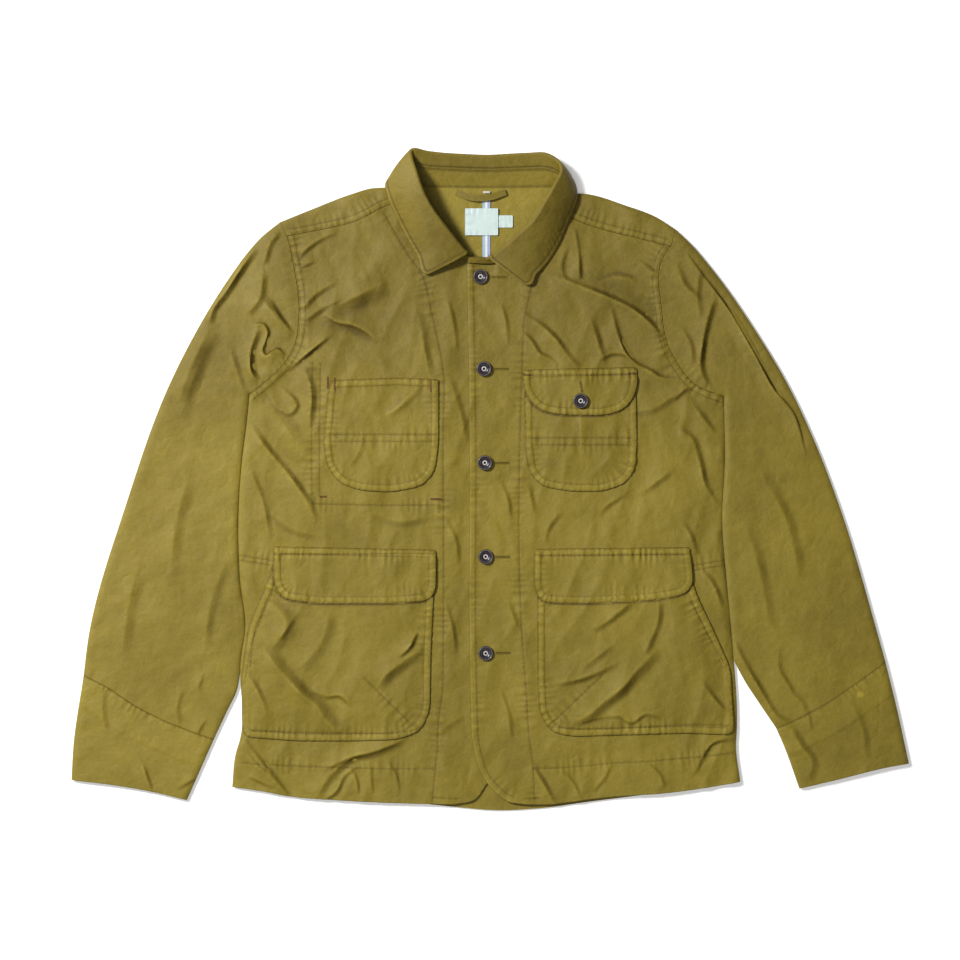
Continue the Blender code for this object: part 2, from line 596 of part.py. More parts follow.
def sleeves(finish):
    seam_right, seam_left = smooth(CUFF_SEAM_RIGHT, STEP), smooth(CUFF_SEAM_LEFT, STEP)
    tube("sleeve_right", (RIGHT.armhole[::-1], smooth(SLEEVE_OUTER_RIGHT, STEP), seam_right[::-1],
                          RIGHT.sleeve_inner[::-1]), SLEEVE_RIGHT_FOLDS, finish)
    tube("sleeve_left", (LEFT.armhole, LEFT.sleeve_inner, seam_left,
                         smooth(SLEEVE_OUTER_LEFT, STEP)[::-1]), SLEEVE_LEFT_FOLDS, finish)
    tube("cuff_right", (seam_right, smooth(CUFF_OUTER_RIGHT, STEP),
                        smooth(CUFF_HEM_RIGHT, STEP)[::-1], smooth(CUFF_INNER_RIGHT, STEP)[::-1]),
         (), finish)
    tube("cuff_left", (seam_left[::-1], smooth(CUFF_INNER_LEFT, STEP), smooth(CUFF_HEM_LEFT, STEP),
                       smooth(CUFF_OUTER_LEFT, STEP)[::-1]), (), finish)


def pockets(finish):
    chest_right, chest_left, hand_right, hand_left = POCKETS
    chest_flap, flap_right, flap_left = FLAPS
    table = [
        # node, outline, flap over it, how far it fills out, its folds
        ("chest_pocket_right", chest_right, [], 1.2, []),
        ("chest_pocket_left", chest_left, [chest_flap], 1.2, []),
        ("lower_pocket_right", hand_right, [flap_right], 2.2, POCKET_RIGHT_FOLDS),
        ("lower_pocket_left", hand_left, [flap_left], 2.2, POCKET_LEFT_FOLDS),
    ]
    for name, loop, flaps, puff, rows in table:
        rings = [inset(flap, -2.0) for flap in flaps] + [inset(loop, 7.0)]
        sheet(name, loop,
              lambda points: pocket_under(points, loop, flaps, puff, rows), finish,
              guides=fold_guides(rows), rings=rings)
    for name, loop in (("chest_flap", chest_flap), ("lower_flap_right", flap_right),
                       ("lower_flap_left", flap_left)):
        top = loop[:, 1].max()
        sheet(name, loop, lambda points: flap_under(points, top), finish, step=20.0)


# ---------------------------------------------------------------- buttons and neck pieces
def button(name, place, base, finish):
    """A turned button with a raised rim and a dished middle."""
    turns = [2 * math.pi * k / BUTTON_SIDES for k in range(BUTTON_SIDES)]
    places = [(radius * math.cos(a), radius * math.sin(a), height)
              for radius, height in BUTTON_PROFILE for a in turns]
    faces = []
    for ring in range(len(BUTTON_PROFILE) - 1):
        for k in range(BUTTON_SIDES):
            a, b = ring * BUTTON_SIDES + k, ring * BUTTON_SIDES + (k + 1) % BUTTON_SIDES
            faces.append((a, b, b + BUTTON_SIDES, a + BUTTON_SIDES))
    faces.append(tuple(reversed(range(BUTTON_SIDES))))
    last = (len(BUTTON_PROFILE) - 1) * BUTTON_SIDES
    faces.append(tuple(range(last, last + BUTTON_SIDES)))
    mesh = bpy.data.meshes.new(name)
    mesh.from_pydata([tuple(0.001 * c for c in p) for p in places], [], faces)
    mesh.materials.append(finish)
    mesh.shade_smooth()
    mesh.set_sharp_from_angle(angle=math.radians(50))
    made = bpy.data.objects.new(name, mesh)
    made.location = (0.001 * place[0], 0.001 * place[1], 0.001 * base)
    bpy.context.scene.collection.objects.link(made)


def buttons(finish):
    on_front = REST + CLOTH + 0.3
    for number, place in enumerate(FRONT_BUTTONS, start=1):
        button("front_button_%d" % number, place, on_front, finish)
    on_flap = REST + 3 * CLOTH + 2 * STACK + 0.6
    button("flap_button", FLAP_BUTTON, on_flap, finish)


def block(corners):
    x0, y0, x1, y1 = corners
    return np.array([(x0, y0), (x1, y0), (x1, y1), (x0, y1)], float)


def neck_pieces(cloth, label, tape):
    level = CLOTH + 0.3
    flat = lambda height: (lambda points: np.full(len(points), height))
    sheet("seam_tape", block(TAPE), flat(level), tape, thick=0.7)
    sheet("size_tab", block(SIZE_TAB), flat(level), label, thick=0.7)
    sheet("neck_label", block(LABEL), flat(level + 1.0), label, thick=0.8)
    line = smooth(LOOP_CENTRE, 6.0)
    run = np.gradient(line, axis=0)
    side = np.stack((-run[:, 1], run[:, 0]), axis=1) / np.linalg.norm(run, axis=1)[:, None]
    rise = level + CLOTH + 1.6 * np.sin(np.linspace(0, math.pi, len(line)))
    rows = [[(*(centre + across * s * LOOP_WIDTH), height) for s in (-0.5, 0.0, 0.5)]
            for centre, across, height in zip(line, side, rise)]
    grid_wall("hang_loop", np.array(rows), CLOTH, cloth)


olive = material("waxed cotton", OLIVE, 0.62)
body(olive)
sleeves(olive)
pockets(olive)
collar(olive)
buttons(material("button brown", BUTTON_BROWN, 0.35))
neck_pieces(olive, material("label white", LABEL_WHITE, 0.7), material("tape blue", TAPE_BLUE, 0.8))
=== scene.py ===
"""Waxed cotton field jacket, laid flat on its back with the fronts buttoned.

Cloth is worked out in mm and made in metres. X runs to the wearer's left, Y to the collar and Z up
from the surface that the jacket lies on.
"""
import math

import bmesh
import bpy
import numpy as np
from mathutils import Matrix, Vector, kdtree, noise
from mathutils.geometry import delaunay_2d_cdt


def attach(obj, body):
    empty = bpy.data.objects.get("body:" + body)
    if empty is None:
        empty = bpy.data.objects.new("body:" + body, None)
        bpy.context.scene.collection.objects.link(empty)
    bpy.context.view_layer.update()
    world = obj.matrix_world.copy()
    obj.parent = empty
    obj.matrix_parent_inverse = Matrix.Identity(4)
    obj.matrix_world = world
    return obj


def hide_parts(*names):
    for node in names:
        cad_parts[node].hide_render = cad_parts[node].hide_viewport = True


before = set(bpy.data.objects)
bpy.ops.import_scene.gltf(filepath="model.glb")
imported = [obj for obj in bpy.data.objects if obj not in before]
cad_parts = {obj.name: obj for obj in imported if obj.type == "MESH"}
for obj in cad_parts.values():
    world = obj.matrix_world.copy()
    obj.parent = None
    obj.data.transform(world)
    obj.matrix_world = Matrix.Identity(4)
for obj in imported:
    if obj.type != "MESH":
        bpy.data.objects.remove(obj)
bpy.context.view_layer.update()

# ---------------------------------------------------------------- studio
# A long lens hangs straight above a pale floor. One large soft light stands at the upper left, so
# that creases have a lit and a shaded side, and a weaker one fills in from the lower right.
LENS = 100.0
SENSOR = 36.0
VIEW_WIDTH = 1.104
VIEW_CENTRE = (-0.0117, 0.0003)
CLOTH_LEVEL = 0.006
KEY_PLACE = (-1.95, 1.15, 2.2)
FILL_PLACE = (-0.4, -1.0, 3.0)
ROOM_LIGHT = 0.13
FLOOR_HALF = 3.0
FLOOR_LEVEL = -0.0004
FLOOR_GREY = 0.9
FLOOR_GLOW = 0.3

camera = bpy.data.objects.new("camera", bpy.data.cameras.new("camera"))
camera.data.lens = LENS
camera.data.sensor_width = SENSOR
camera.location = (*VIEW_CENTRE, CLOTH_LEVEL + VIEW_WIDTH * LENS / SENSOR)
bpy.context.scene.collection.objects.link(camera)
bpy.context.scene.camera = camera
bpy.context.scene.view_settings.view_transform = "Standard"


def soft_light(name, place, size, power):
    """A square light that faces the middle of the jacket."""
    lamp = bpy.data.objects.new(name, bpy.data.lights.new(name, "AREA"))
    lamp.data.size = size
    lamp.data.energy = power
    lamp.location = place
    lamp.rotation_euler = (-Vector(place)).to_track_quat("-Z", "Y").to_euler()
    bpy.context.scene.collection.objects.link(lamp)


soft_light("key light", KEY_PLACE, 0.6, 122.0)
soft_light("fill light", FILL_PLACE, 2.4, 20.0)
world = bpy.data.worlds.new("room")
world.use_nodes = True
sky = world.node_tree.nodes["Background"]
sky.inputs["Color"].default_value = (1.0, 1.0, 1.0, 1.0)
sky.inputs["Strength"].default_value = ROOM_LIGHT
bpy.context.scene.world = world

floor_mesh = bpy.data.meshes.new("floor")
floor_mesh.from_pydata([(x * FLOOR_HALF, y * FLOOR_HALF, FLOOR_LEVEL)
                        for x, y in ((-1, -1), (1, -1), (1, 1), (-1, 1))], [], [(0, 1, 2, 3)])
floor = bpy.data.objects.new("floor", floor_mesh)
bpy.context.scene.collection.objects.link(floor)
paper = bpy.data.materials.new("floor paper")
paper.use_nodes = True
for title, value in (("Base Color", (FLOOR_GREY, FLOOR_GREY, FLOOR_GREY, 1.0)), ("Roughness", 0.9),
                     ("Emission Color", (1, 1, 1, 1)), ("Emission Strength", FLOOR_GLOW)):
    paper.node_tree.nodes["Principled BSDF"].inputs[title].default_value = value
floor_mesh.materials.append(paper)

# ---------------------------------------------------------------- back
# The back is cut from olive waxed cotton in two halves, felled together down the centre. It lies
# flat on the surface and turns up at both side seams, where it is sewn to the fronts.
CLOTH = 1.3              # thickness of the cloth with its turned edges
FOLD = 3.1               # middle of a folded side above the surface
SIDE_RIGHT = [(-277, 99), (-280, 68), (-286, 20), (-290, -56), (-288, -114), (-282, -172),
              (-287, -205), (-288, -298), (-293, -315), (-297, -353)]
SIDE_LEFT = [(269, 96), (270, 20), (267, -46), (272, -114), (279, -190), (284, -286),
             (283, -305), (288, -347)]
ARMHOLE_RIGHT = [(-242, 297), (-234, 281), (-228, 256), (-220, 190), (-225, 155), (-238, 133),
                 (-257, 115), (-277, 99)]
ARMHOLE_LEFT = [(213, 289), (208, 270), (199, 256), (198, 192), (202, 164), (213, 139),
                (235, 111), (269, 96)]
HEM_BACK = [(-297, -353), (-229, -363), (-91, -371), (-42, -376), (10, -380), (54, -378),
            (115, -370), (202, -359), (288, -347)]
BACK_YOKE_HEIGHT = 215   # the seam between back and yoke
CENTRE_SEAM = [(0.9, 214), (0.9, -100), (0.9, -378)]
FELL_ROWS = (1.6, 7.4)   # the two rows of stitches beside a felled seam
BACK_HEM_ROW = 22.0
SIDE_ROUND = 8.0         # how far in from a folded side the cloth rounds over
EDGE_STEP = 2.6          # spacing of the mesh along an edge or a row of stitches
INNER_STEP = 9.0         # and over the hidden inner face
PLAIN_STEP = 4.5         # and over a plain outer face
PUCKER_REACH = 18.0      # how far from its stitches the cloth puckers
GATHER_REACH = 20.0      # and how far a seam gathers it


def smooth(points, step=EDGE_STEP):
    """Evenly spaced points on a smooth curve through the given ones."""
    points = np.array(points, float)
    along = np.concatenate(([0.0], np.cumsum(np.linalg.norm(np.diff(points, axis=0), axis=1))))
    slope = np.gradient(points, along, axis=0)
    place = np.linspace(0.0, along[-1], max(1, round(along[-1] / step)) + 1)
    k = np.clip(np.searchsorted(along, place, "right") - 1, 0, len(points) - 2)
    length = (along[k + 1] - along[k])[:, None]
    t = (place - along[k])[:, None] / length
    return (points[k] * (1 + 2 * t) * (1 - t) ** 2 + points[k + 1] * t * t * (3 - 2 * t)
            + slope[k] * length * t * (1 - t) ** 2 - slope[k + 1] * length * t * t * (1 - t))


def ramp(value, low, high):
    """0 below low, 1 above high, and smooth between them."""
    t = np.clip((value - low) / (high - low), 0.0, 1.0)
    return t * t * (3.0 - 2.0 * t)


def nearest(points, line, reach):
    """Distance from a line, capped at reach, above 0 on its left, and how far along it that is."""
    gap = np.full(len(points), float(reach))
    along = np.zeros(len(points))
    run = np.diff(line, axis=0)
    length = np.maximum(np.linalg.norm(run, axis=1), 1e-6)
    before = np.concatenate(([0.0], np.cumsum(length)))
    for k in range(0, len(run), 8):
        part = slice(k, min(k + 8, len(run)))
        low = line[k:part.stop + 1].min(axis=0) - reach
        high = line[k:part.stop + 1].max(axis=0) + reach
        close = np.flatnonzero(((points > low) & (points < high)).all(axis=1))
        if not len(close):
            continue
        away = points[close][:, None, :] - line[part]
        t = np.clip((away * run[part]).sum(axis=2) / length[part] ** 2, 0.0, 1.0)
        off = away - t[:, :, None] * run[part]
        span = np.hypot(off[:, :, 0], off[:, :, 1])
        best, row = span.argmin(axis=1), np.arange(len(close))
        better = span[row, best] < np.abs(gap[close])
        row, best = row[better], best[better]
        turn = run[part][best, 0] * off[row, best, 1] - run[part][best, 1] * off[row, best, 0]
        gap[close[better]] = span[row, best] * np.where(turn < 0.0, -1.0, 1.0)
        along[close[better]] = before[part.start + best] + t[row, best] * length[part][best]
    return gap, along


def inside(points, loop):
    """Which points lie inside a closed loop."""
    held = np.zeros(len(points), bool)
    for (x1, y1), (x2, y2) in zip(loop, np.roll(loop, -1, axis=0)):
        spans = (y1 > points[:, 1]) != (y2 > points[:, 1])
        if y1 != y2:
            held ^= spans & (points[:, 0] < (x2 - x1) * (points[:, 1] - y1) / (y2 - y1) + x1)
    return held


def beside(line, distance):
    """A line moved to its left by a distance, or to its right where that is below 0."""
    run = np.gradient(line, axis=0)
    run /= np.linalg.norm(run, axis=1)[:, None]
    return line + distance * np.stack((-run[:, 1], run[:, 0]), axis=1)


def inset(loop, distance):
    """A closed anticlockwise loop moved inward, or outward where the distance is below 0."""
    run = np.roll(loop, -1, axis=0) - loop
    run /= np.linalg.norm(run, axis=1)[:, None]
    after = np.stack((-run[:, 1], run[:, 0]), axis=1)
    before = np.roll(after, 1, axis=0)
    spread = 1.0 + (after * before).sum(axis=1)
    return loop + distance * (after + before) / np.maximum(spread, 0.5)[:, None]


def fill(loop, step, rows=()):
    """Points and triangles over an outline: its own points, then those of rows, then a lattice."""
    low, high = loop.min(axis=0), loop.max(axis=0)
    x, y = np.meshgrid(np.arange(low[0], high[0], step), np.arange(low[1], high[1], step * 0.866))
    x += np.where(np.arange(len(y)) % 2, 0.25, 0.75)[:, None] * step
    closed = np.vstack((loop, loop[:1]))
    placed = [loop]
    if len(rows):
        drawn = np.vstack(rows)
        _, first = np.unique(np.round(drawn / 0.45), axis=0, return_index=True)
        drawn = drawn[np.sort(first)]
        drawn = drawn[inside(drawn, loop) & (np.abs(nearest(drawn, closed, 2.0)[0]) > 0.12)]
        placed.append(drawn)
    taken = np.vstack(placed)
    tree = kdtree.KDTree(len(taken))
    for k, (a, b) in enumerate(taken):
        tree.insert((a, b, 0.0), k)
    tree.balance()
    lattice = np.column_stack((x.ravel(), y.ravel()))
    lattice = lattice[inside(lattice, loop)]
    room = 0.6 * step
    free = [tree.find((a, b, 0.0))[2] > room for a, b in lattice]
    points = np.vstack((taken, lattice[np.array(free, bool)]))
    edges = [(k, (k + 1) % len(loop)) for k in range(len(loop))]
    made = delaunay_2d_cdt([Vector(place) for place in points], edges, [list(range(len(loop)))],
                           1, 1e-7)
    return np.array([tuple(place) for place in made[0]]), np.array(made[2])


def outline(edges):
    """A closed outline from (line, kind) run end to end, anticlockwise, and its folded points."""
    loop = np.vstack([line[:-1] for line, _ in edges])
    fold = np.concatenate([np.full(len(line) - 1, kind == "fold") for line, kind in edges])
    folds = [line for line, kind in edges if kind == "fold"]
    cuts = [line for line, kind in edges if kind != "fold"]
    return inset(loop, 0.04), fold | np.roll(fold, 1), folds, cuts


def turned(points, height, folds, cuts, radius, lower=False):
    """The outer face brought round its folds, and rounded over at its other edges."""
    for line in folds:
        gap = np.abs(nearest(points, line, radius)[0])
        bend = np.sqrt(1.0 - (1.0 - np.minimum(gap, radius) / radius) ** 2)
        height = FOLD + (height - FOLD) * bend
    for line in cuts:
        gap = 1.0 - np.abs(nearest(points, line, 0.6)[0]) / 0.6
        height = height + (0.45 if lower else -0.45) * (1.0 - np.sqrt(1.0 - gap ** 2))
    return height


def stitch_guides(rows):
    """Lines of mesh points in and beside each row of stitches."""
    lines = [smooth(row) if len(row) > 1 else row for row in rows]
    return [beside(line, off) for line in lines for off in (0.0, 0.8, -0.8)]


class Shell:
    """The faces of one sewn piece, gathered layer by layer, and each point's wear and painted light
    or shade.
    """

    def __init__(self, thick=CLOTH):
        self.points, self.worn, self.faces, self.count = [], [], [], 0
        self.thick = thick

    def take(self, points, height, worn, faces, flip):
        """Adds points and faces, and gives the number of the first new point."""
        first = self.count
        self.points.append(np.column_stack((points, height)))
        self.worn.append(worn)
        self.faces += [tuple(face) for face in (faces[:, ::-1] if flip else faces) + first]
        self.count += len(points)
        return first

    def layer(self, loop, fold, face, step, rows=(), lower=False, alone=False, inside_worn=0.0):
        """One layer: a fine outer face, a coarser inner one and the rim between them.

        A layer that isn't alone meets another of the same piece at its folds, with no rim there.
        """
        bends = (0.15, 0.5, 1.1, 2.0, 3.2, 4.8) if fold.any() else (0.2, 0.6)
        rings = [inset(loop, depth) for depth in bends]
        rings = [ring[np.abs(nearest(ring, np.vstack((loop, loop[:1])), 6.0)[0]) > 0.9 * depth]
                 for ring, depth in zip(rings, bends)]
        points, faces = fill(loop, step, rings + stitch_guides(rows))
        height, worn = face(points)
        height[:len(loop)][fold] = FOLD
        outer = self.take(points, height, worn, faces, lower)
        inward = np.where(fold[:, None], inset(loop, self.thick), loop)
        points, faces = fill(inward, INNER_STEP)
        height = face(points)[0] + (self.thick if lower else -self.thick)
        height[:len(loop)][fold] = FOLD
        inner = self.take(points, height, np.full(len(points), inside_worn), faces, not lower)
        for k in range(len(loop)):
            n = (k + 1) % len(loop)
            if alone or not (fold[k] and fold[n]):
                rim = (outer + k, inner + k, inner + n, outer + n)
                self.faces.append(rim[::-1] if lower else rim)

    def make(self, name, finish, weld=True):
        """The gathered faces as one object on the body, in metres."""
        mesh = bpy.data.meshes.new(name)
        mesh.from_pydata((np.vstack(self.points) * 0.001).tolist(), [], self.faces)
        # One attribute per point carries both real wear and painted light and shade for the colour.
        mesh.attributes.new("worn", "FLOAT", "POINT")
        mesh.attributes["worn"].data.foreach_set("value", np.concatenate(self.worn))
        if weld:
            sewn = bmesh.new()
            sewn.from_mesh(mesh)
            bmesh.ops.remove_doubles(sewn, verts=sewn.verts, dist=2e-6)
            sewn.to_mesh(mesh)
            sewn.free()
        mesh.materials.append(finish)
        mesh.shade_smooth()
        mesh.set_sharp_from_angle(angle=math.radians(55))
        made = bpy.data.objects.new(name, mesh)
        bpy.context.scene.collection.objects.link(made)
        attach(made, "root")
        return made


def waves(points, turn, long, short, seed):
    """Unevenness from about -1 to 1, drawn out along one direction in degrees."""
    c, s = math.cos(math.radians(turn)), math.sin(math.radians(turn))
    u = (points[:, 0] * c + points[:, 1] * s) / long
    v = (points[:, 1] * c - points[:, 0] * s) / short
    return 1.7 * np.array([noise.noise((a, b, seed)) for a, b in zip(u.tolist(), v.tolist())])


def pucker(gap, along, number, strength=1.0):
    """Ripples that a row of stitches draws into the cloth: fine close by, and longer gathers."""
    fine = np.sin(1.15 * along + 1.9 * np.sin(0.19 * along + number) + number)
    cell = along / 8.5 + 0.4 * np.sin(0.13 * along + number)
    part = cell - np.floor(cell)
    size = 0.5 + 0.5 * np.sin(12.9898 * np.floor(cell) + 78.233 * (number + 1.0))
    form = np.where(part < 0.68, part / 0.68, (1.0 - part) / 0.32) - 0.5
    reach = 3.0 + 7.0 * size
    return strength * (0.17 * fine * np.exp(-(gap / 3.4) ** 2)
                       + 1.15 * size * form * np.exp(-(gap / reach) ** 2))


def sewn(points, rows, strength=1.0):
    """Height and painted light from rows of stitches: a groove under the thread, darkened as
    painted shade, and ripples beside it, painted lighter on their crests and darker in their
    hollows.
    """
    height, worn = np.zeros(len(points)), np.zeros(len(points))
    for number, row in enumerate(rows):
        gap, along = nearest(points, row, PUCKER_REACH)
        groove = np.exp(-(gap / 0.75) ** 2)
        ripple = pucker(gap, along, number, 0.95) * (np.abs(gap) < PUCKER_REACH)
        height += strength * (ripple - 0.3 * groove)
        # Painted shade in the groove, and painted highlight and shade over the ripples.
        worn += 0.5 * ripple - 0.65 * groove
    return height, worn


def gathered(points, lines):
    """The gathers that a seam draws into the cloth beside it, where the stitches don't show."""
    height = np.zeros(len(points))
    for number, line in enumerate(lines):
        gap, along = nearest(points, line, GATHER_REACH)
        off = np.abs(gap)
        height += pucker(gap, along, number + 3) * ramp(off, 0.0, 2.5) * (off < GATHER_REACH)
    return height


def banded(points, height, worn, bands):
    """Height, wear and painted light with strips of doubled cloth added, whose edges stand up: each
    strip is rubbed a little lighter, with a painted highlight just inside its edge and a painted
    shadow line along it.

    Each strip is a line, its side (1 left, -1 right), its width and rise, and how strongly its wear
    and painted edge lines show.
    """
    for line, side, width, rise, wear_and_painted_edges in bands:
        off = nearest(points, line, width + 6.0)[0] * side
        strip = ramp(off, -0.2, 0.5) * (1.0 - ramp(off, width - 0.4, width + 1.6))
        # Painted highlight just inside the strip's edge and painted shadow line along the edge
        # itself.
        edge = 0.5 * np.exp(-((off - 1.5) / 0.6) ** 2) - 0.9 * np.exp(-((off + 0.1) / 0.7) ** 2)
        height, worn = height + rise * strip, worn + wear_and_painted_edges * (0.12 * strip + edge)
    return height, worn


class Signal:
    """A value that varies over a surface. Arithmetic on it adds Math nodes."""

    def __init__(self, finish, socket):
        self.finish, self.socket = finish, socket

    def _math(self, operation, first, second):
        return self.finish.node("ShaderNodeMath", {"operation": operation}, {0: first, 1: second})

    def __add__(self, other):
        return self._math("ADD", self, other)

    __radd__ = __add__

    def __mul__(self, other):
        return self._math("MULTIPLY", self, other)

    __rmul__ = __mul__

    def __sub__(self, other):
        return self._math("SUBTRACT", self, other)

    def __rsub__(self, other):
        return self._math("SUBTRACT", other, self)


class Finish:
    """One material and its nodes."""

    def __init__(self, name, **constants):
        self.made = bpy.data.materials.new(name)
        self.made.use_nodes = True
        self.tree = self.made.node_tree
        self.shader = self.tree.nodes["Principled BSDF"]
        self.set(**constants)

    def set(self, **values):
        """Constants or signals for the shader's own sockets."""
        for key, value in values.items():
            title = key.replace("_", " ").title().replace("Ior", "IOR")
            self.link(self.shader.inputs[title], value)

    def link(self, socket, value):
        """A signal joined to a socket, or a constant set on it."""
        if isinstance(value, Signal):
            self.tree.links.new(value.socket, socket)
        else:
            socket.default_value = value

    def node(self, kind, settings=None, sockets=None, out=0, stops=None):
        """A node with its settings, then its ramp's grey stops, then its sockets."""
        made = self.tree.nodes.new(kind)
        for key, value in (settings or {}).items():
            setattr(made, key, value)
        if stops:
            for spare in list(made.color_ramp.elements)[2:]:
                made.color_ramp.elements.remove(spare)
            for k, (place, level) in enumerate(stops):
                stop = (made.color_ramp.elements[k] if k < 2
                        else made.color_ramp.elements.new(place))
                stop.position = place
                stop.color = (level, level, level, 1.0)
        for key, value in (sockets or {}).items():
            self.link(made.inputs[key], value)
        return Signal(self, made.outputs[out])

    def mix(self, factor, first, second):
        """Two colours blended by a factor."""
        return self.node("ShaderNodeMix", {"data_type": "RGBA"},
                         {0: factor, 6: first, 7: second}, 2)

    def place(self):
        """The point on the object."""
        return self.node("ShaderNodeTexCoord", out="Object")

    def cloudy(self, place, scale, detail=2.0, rough=0.5):
        """Soft noise from 0 to 1."""
        return self.node("ShaderNodeTexNoise", None, {"Vector": place, "Scale": scale,
                                                      "Detail": detail, "Roughness": rough})

    def bump(self, height, distance, strength=1.0, normal=None):
        """A normal tilted by a height, on top of another one if given."""
        sockets = {"Height": height, "Distance": distance, "Strength": strength}
        if normal:
            sockets["Normal"] = normal
        return self.node("ShaderNodeBump", None, sockets)


DARK_OLIVE = (0.090, 0.058, 0.003, 1.0)
PALE_OLIVE = (0.385, 0.296, 0.026, 1.0)
WEAVE = 640.0            # threads to the metre, by the wave texture's own measure


def waxed_cotton():
    """Close plain weave under wax, patchy in tone. A point attribute makes it lighter where a seam
    is rubbed and also carries painted shade and highlights at creases, stitches, edges and under
    flaps.
    """
    cloth = Finish("waxed cotton", specular_ior_level=0.35)
    place = cloth.place()
    patch = cloth.cloudy(place, 8.0, 4.0, 0.6)
    blotch = cloth.cloudy(place, 60.0, 4.0, 0.7)
    grain = cloth.cloudy(place, 900.0, 2.0, 0.6)
    worn = cloth.node("ShaderNodeAttribute", {"attribute_name": "worn"}, out="Fac")
    fold = cloth.node("ShaderNodeMath", {"operation": "ABSOLUTE"},
                      {0: cloth.cloudy(place, 34.0, 3.0, 0.55) - 0.5})
    # Painted shade: the cloth darkens gradually upward from the middle of the chest toward the
    # collar.
    high = cloth.node("ShaderNodeMapRange", None,
                      {"Value": cloth.node("ShaderNodeSeparateXYZ", None, {"Vector": place}, "Y"),
                       "From Min": 0.03, "From Max": 0.19, "To Min": 0.0, "To Max": 0.16})
    # The point attribute adds real wear and painted light and shade to the tone.
    tone = (0.465 + (patch - 0.5) * 0.5 + (blotch - 0.5) * 0.22 + (grain - 0.5) * 0.34
            + worn * 0.42 - fold * 0.24 - high)
    tone = cloth.node("ShaderNodeClamp", None, {"Value": tone})
    colour = cloth.mix(tone, DARK_OLIVE, PALE_OLIVE)
    across, down = (cloth.node("ShaderNodeTexWave", {"bands_direction": way},
                               {"Vector": place, "Scale": WEAVE, "Distortion": 0.6})
                    for way in "XY")
    crumple = cloth.cloudy(place, 120.0, 4.0, 0.6)
    coarse = cloth.bump(crumple * 0.2 + fold * 2.4, 0.0018, 0.65)
    fine = cloth.bump(across * down + grain * 0.6, 0.00012, 0.5, coarse)
    cloth.set(base_color=colour, roughness=0.6 - (patch - 0.5) * 0.25 - worn * 0.08, normal=fine)
    return cloth.made


cotton = waxed_cotton()


def thread_finish(name, colour, lighter):
    """Sewing thread: twisted and waxed with the cloth."""
    thread = Finish(name, specular_ior_level=0.15, roughness=0.75)
    tone = thread.cloudy(thread.place(), 420.0, 2.0)
    thread.set(base_color=thread.mix(tone, colour, lighter))
    return thread.made


olive_thread = thread_finish("olive thread", (0.17, 0.12, 0.010, 1.0), (0.36, 0.27, 0.030, 1.0))


def stitches(name, rows, face, finish=olive_thread, pitch=3.2, length=2.0, width=0.42):
    """Rows of stitches, each a short rounded bead of thread lying in its groove."""
    places, along = [], []
    for row in rows:
        line = smooth(row, pitch)
        places.append(0.5 * (line[1:] + line[:-1]))
        run = np.diff(line, axis=0)
        along.append(run / np.linalg.norm(run, axis=1)[:, None])
    places, along = np.vstack(places), np.vstack(along)
    start = face(places - 0.5 * length * along)[0]
    stop = face(places + 0.5 * length * along)[0]
    middle = face(places)[0]
    side = np.stack((-along[:, 1], along[:, 0]), axis=1)
    points = []
    for share, half, lift in ((-0.5, 0.0, -0.1), (-0.3, 0.5, 0.0), (0.0, 0.55, 0.08),
                              (0.3, 0.5, 0.0), (0.5, 0.0, -0.1)):
        level = middle + (stop - start) * share + 0.12 + lift
        centre = places + share * length * along
        for across, high in ((-1, 0.0), (0, 0.36), (1, 0.0)) if half else ((0, 0.1),):
            points.append(np.column_stack((centre + across * half * width * side, level + high)))
    points = np.stack(points, axis=1)
    bead = [(0, 2, 1), (0, 3, 2), (1, 2, 5, 4), (2, 3, 6, 5), (4, 5, 8, 7), (5, 6, 9, 8),
            (7, 8, 10), (8, 9, 10)]
    faces = [tuple(11 * k + n for n in corners) for k in range(len(places)) for corners in bead]
    shell = Shell()
    shell.points, shell.faces = [points.reshape(-1, 3)], faces
    shell.worn = [np.zeros(points.shape[0] * 11)]
    return shell.make(name, finish, weld=False)


def cut_size(loop, layers=1):
    """Width, length and area of a flat cut, in metres, for one side or both sides of a tube."""
    width, length = (loop.max(axis=0) - loop.min(axis=0)) * 0.001
    x, y = loop[:, 0], loop[:, 1]
    area = 0.5e-6 * abs((x * np.roll(y, -1) - np.roll(x, -1) * y).sum())
    return (width * layers, length), area * layers


def laid(loop, layers=1):
    """Works out a piece's flat size and area as cut and laid down; neither is kept."""
    flat, area = cut_size(loop, layers)


def at_height(line, height):
    """Which point of a line is nearest to a height."""
    return int(np.abs(line[:, 1] - height).argmin())


armhole_right, armhole_left = smooth(ARMHOLE_RIGHT), smooth(ARMHOLE_LEFT)
side_right, side_left = smooth(SIDE_RIGHT), smooth(SIDE_LEFT)


def felled(line, side):
    """The two rows of stitches of a felled seam, on its left (1) or its right (-1)."""
    return [beside(line, side * row) for row in FELL_ROWS]


under_yoke_right = at_height(armhole_right, BACK_YOKE_HEIGHT)
under_yoke_left = at_height(armhole_left, BACK_YOKE_HEIGHT)
back_yoke_seam = smooth([armhole_right[under_yoke_right], armhole_left[under_yoke_left]])
hem_back = smooth(HEM_BACK)
back_loop, back_fold, back_folds, back_cuts = outline([
    (hem_back, "free"), (side_left[::-1], "fold"), (armhole_left[under_yoke_left:][::-1], "free"),
    (back_yoke_seam[::-1], "free"), (armhole_right[under_yoke_right:], "free"),
    (side_right, "fold")])
back_rows = felled(smooth(CENTRE_SEAM), -1) + [beside(hem_back, BACK_HEM_ROW)]


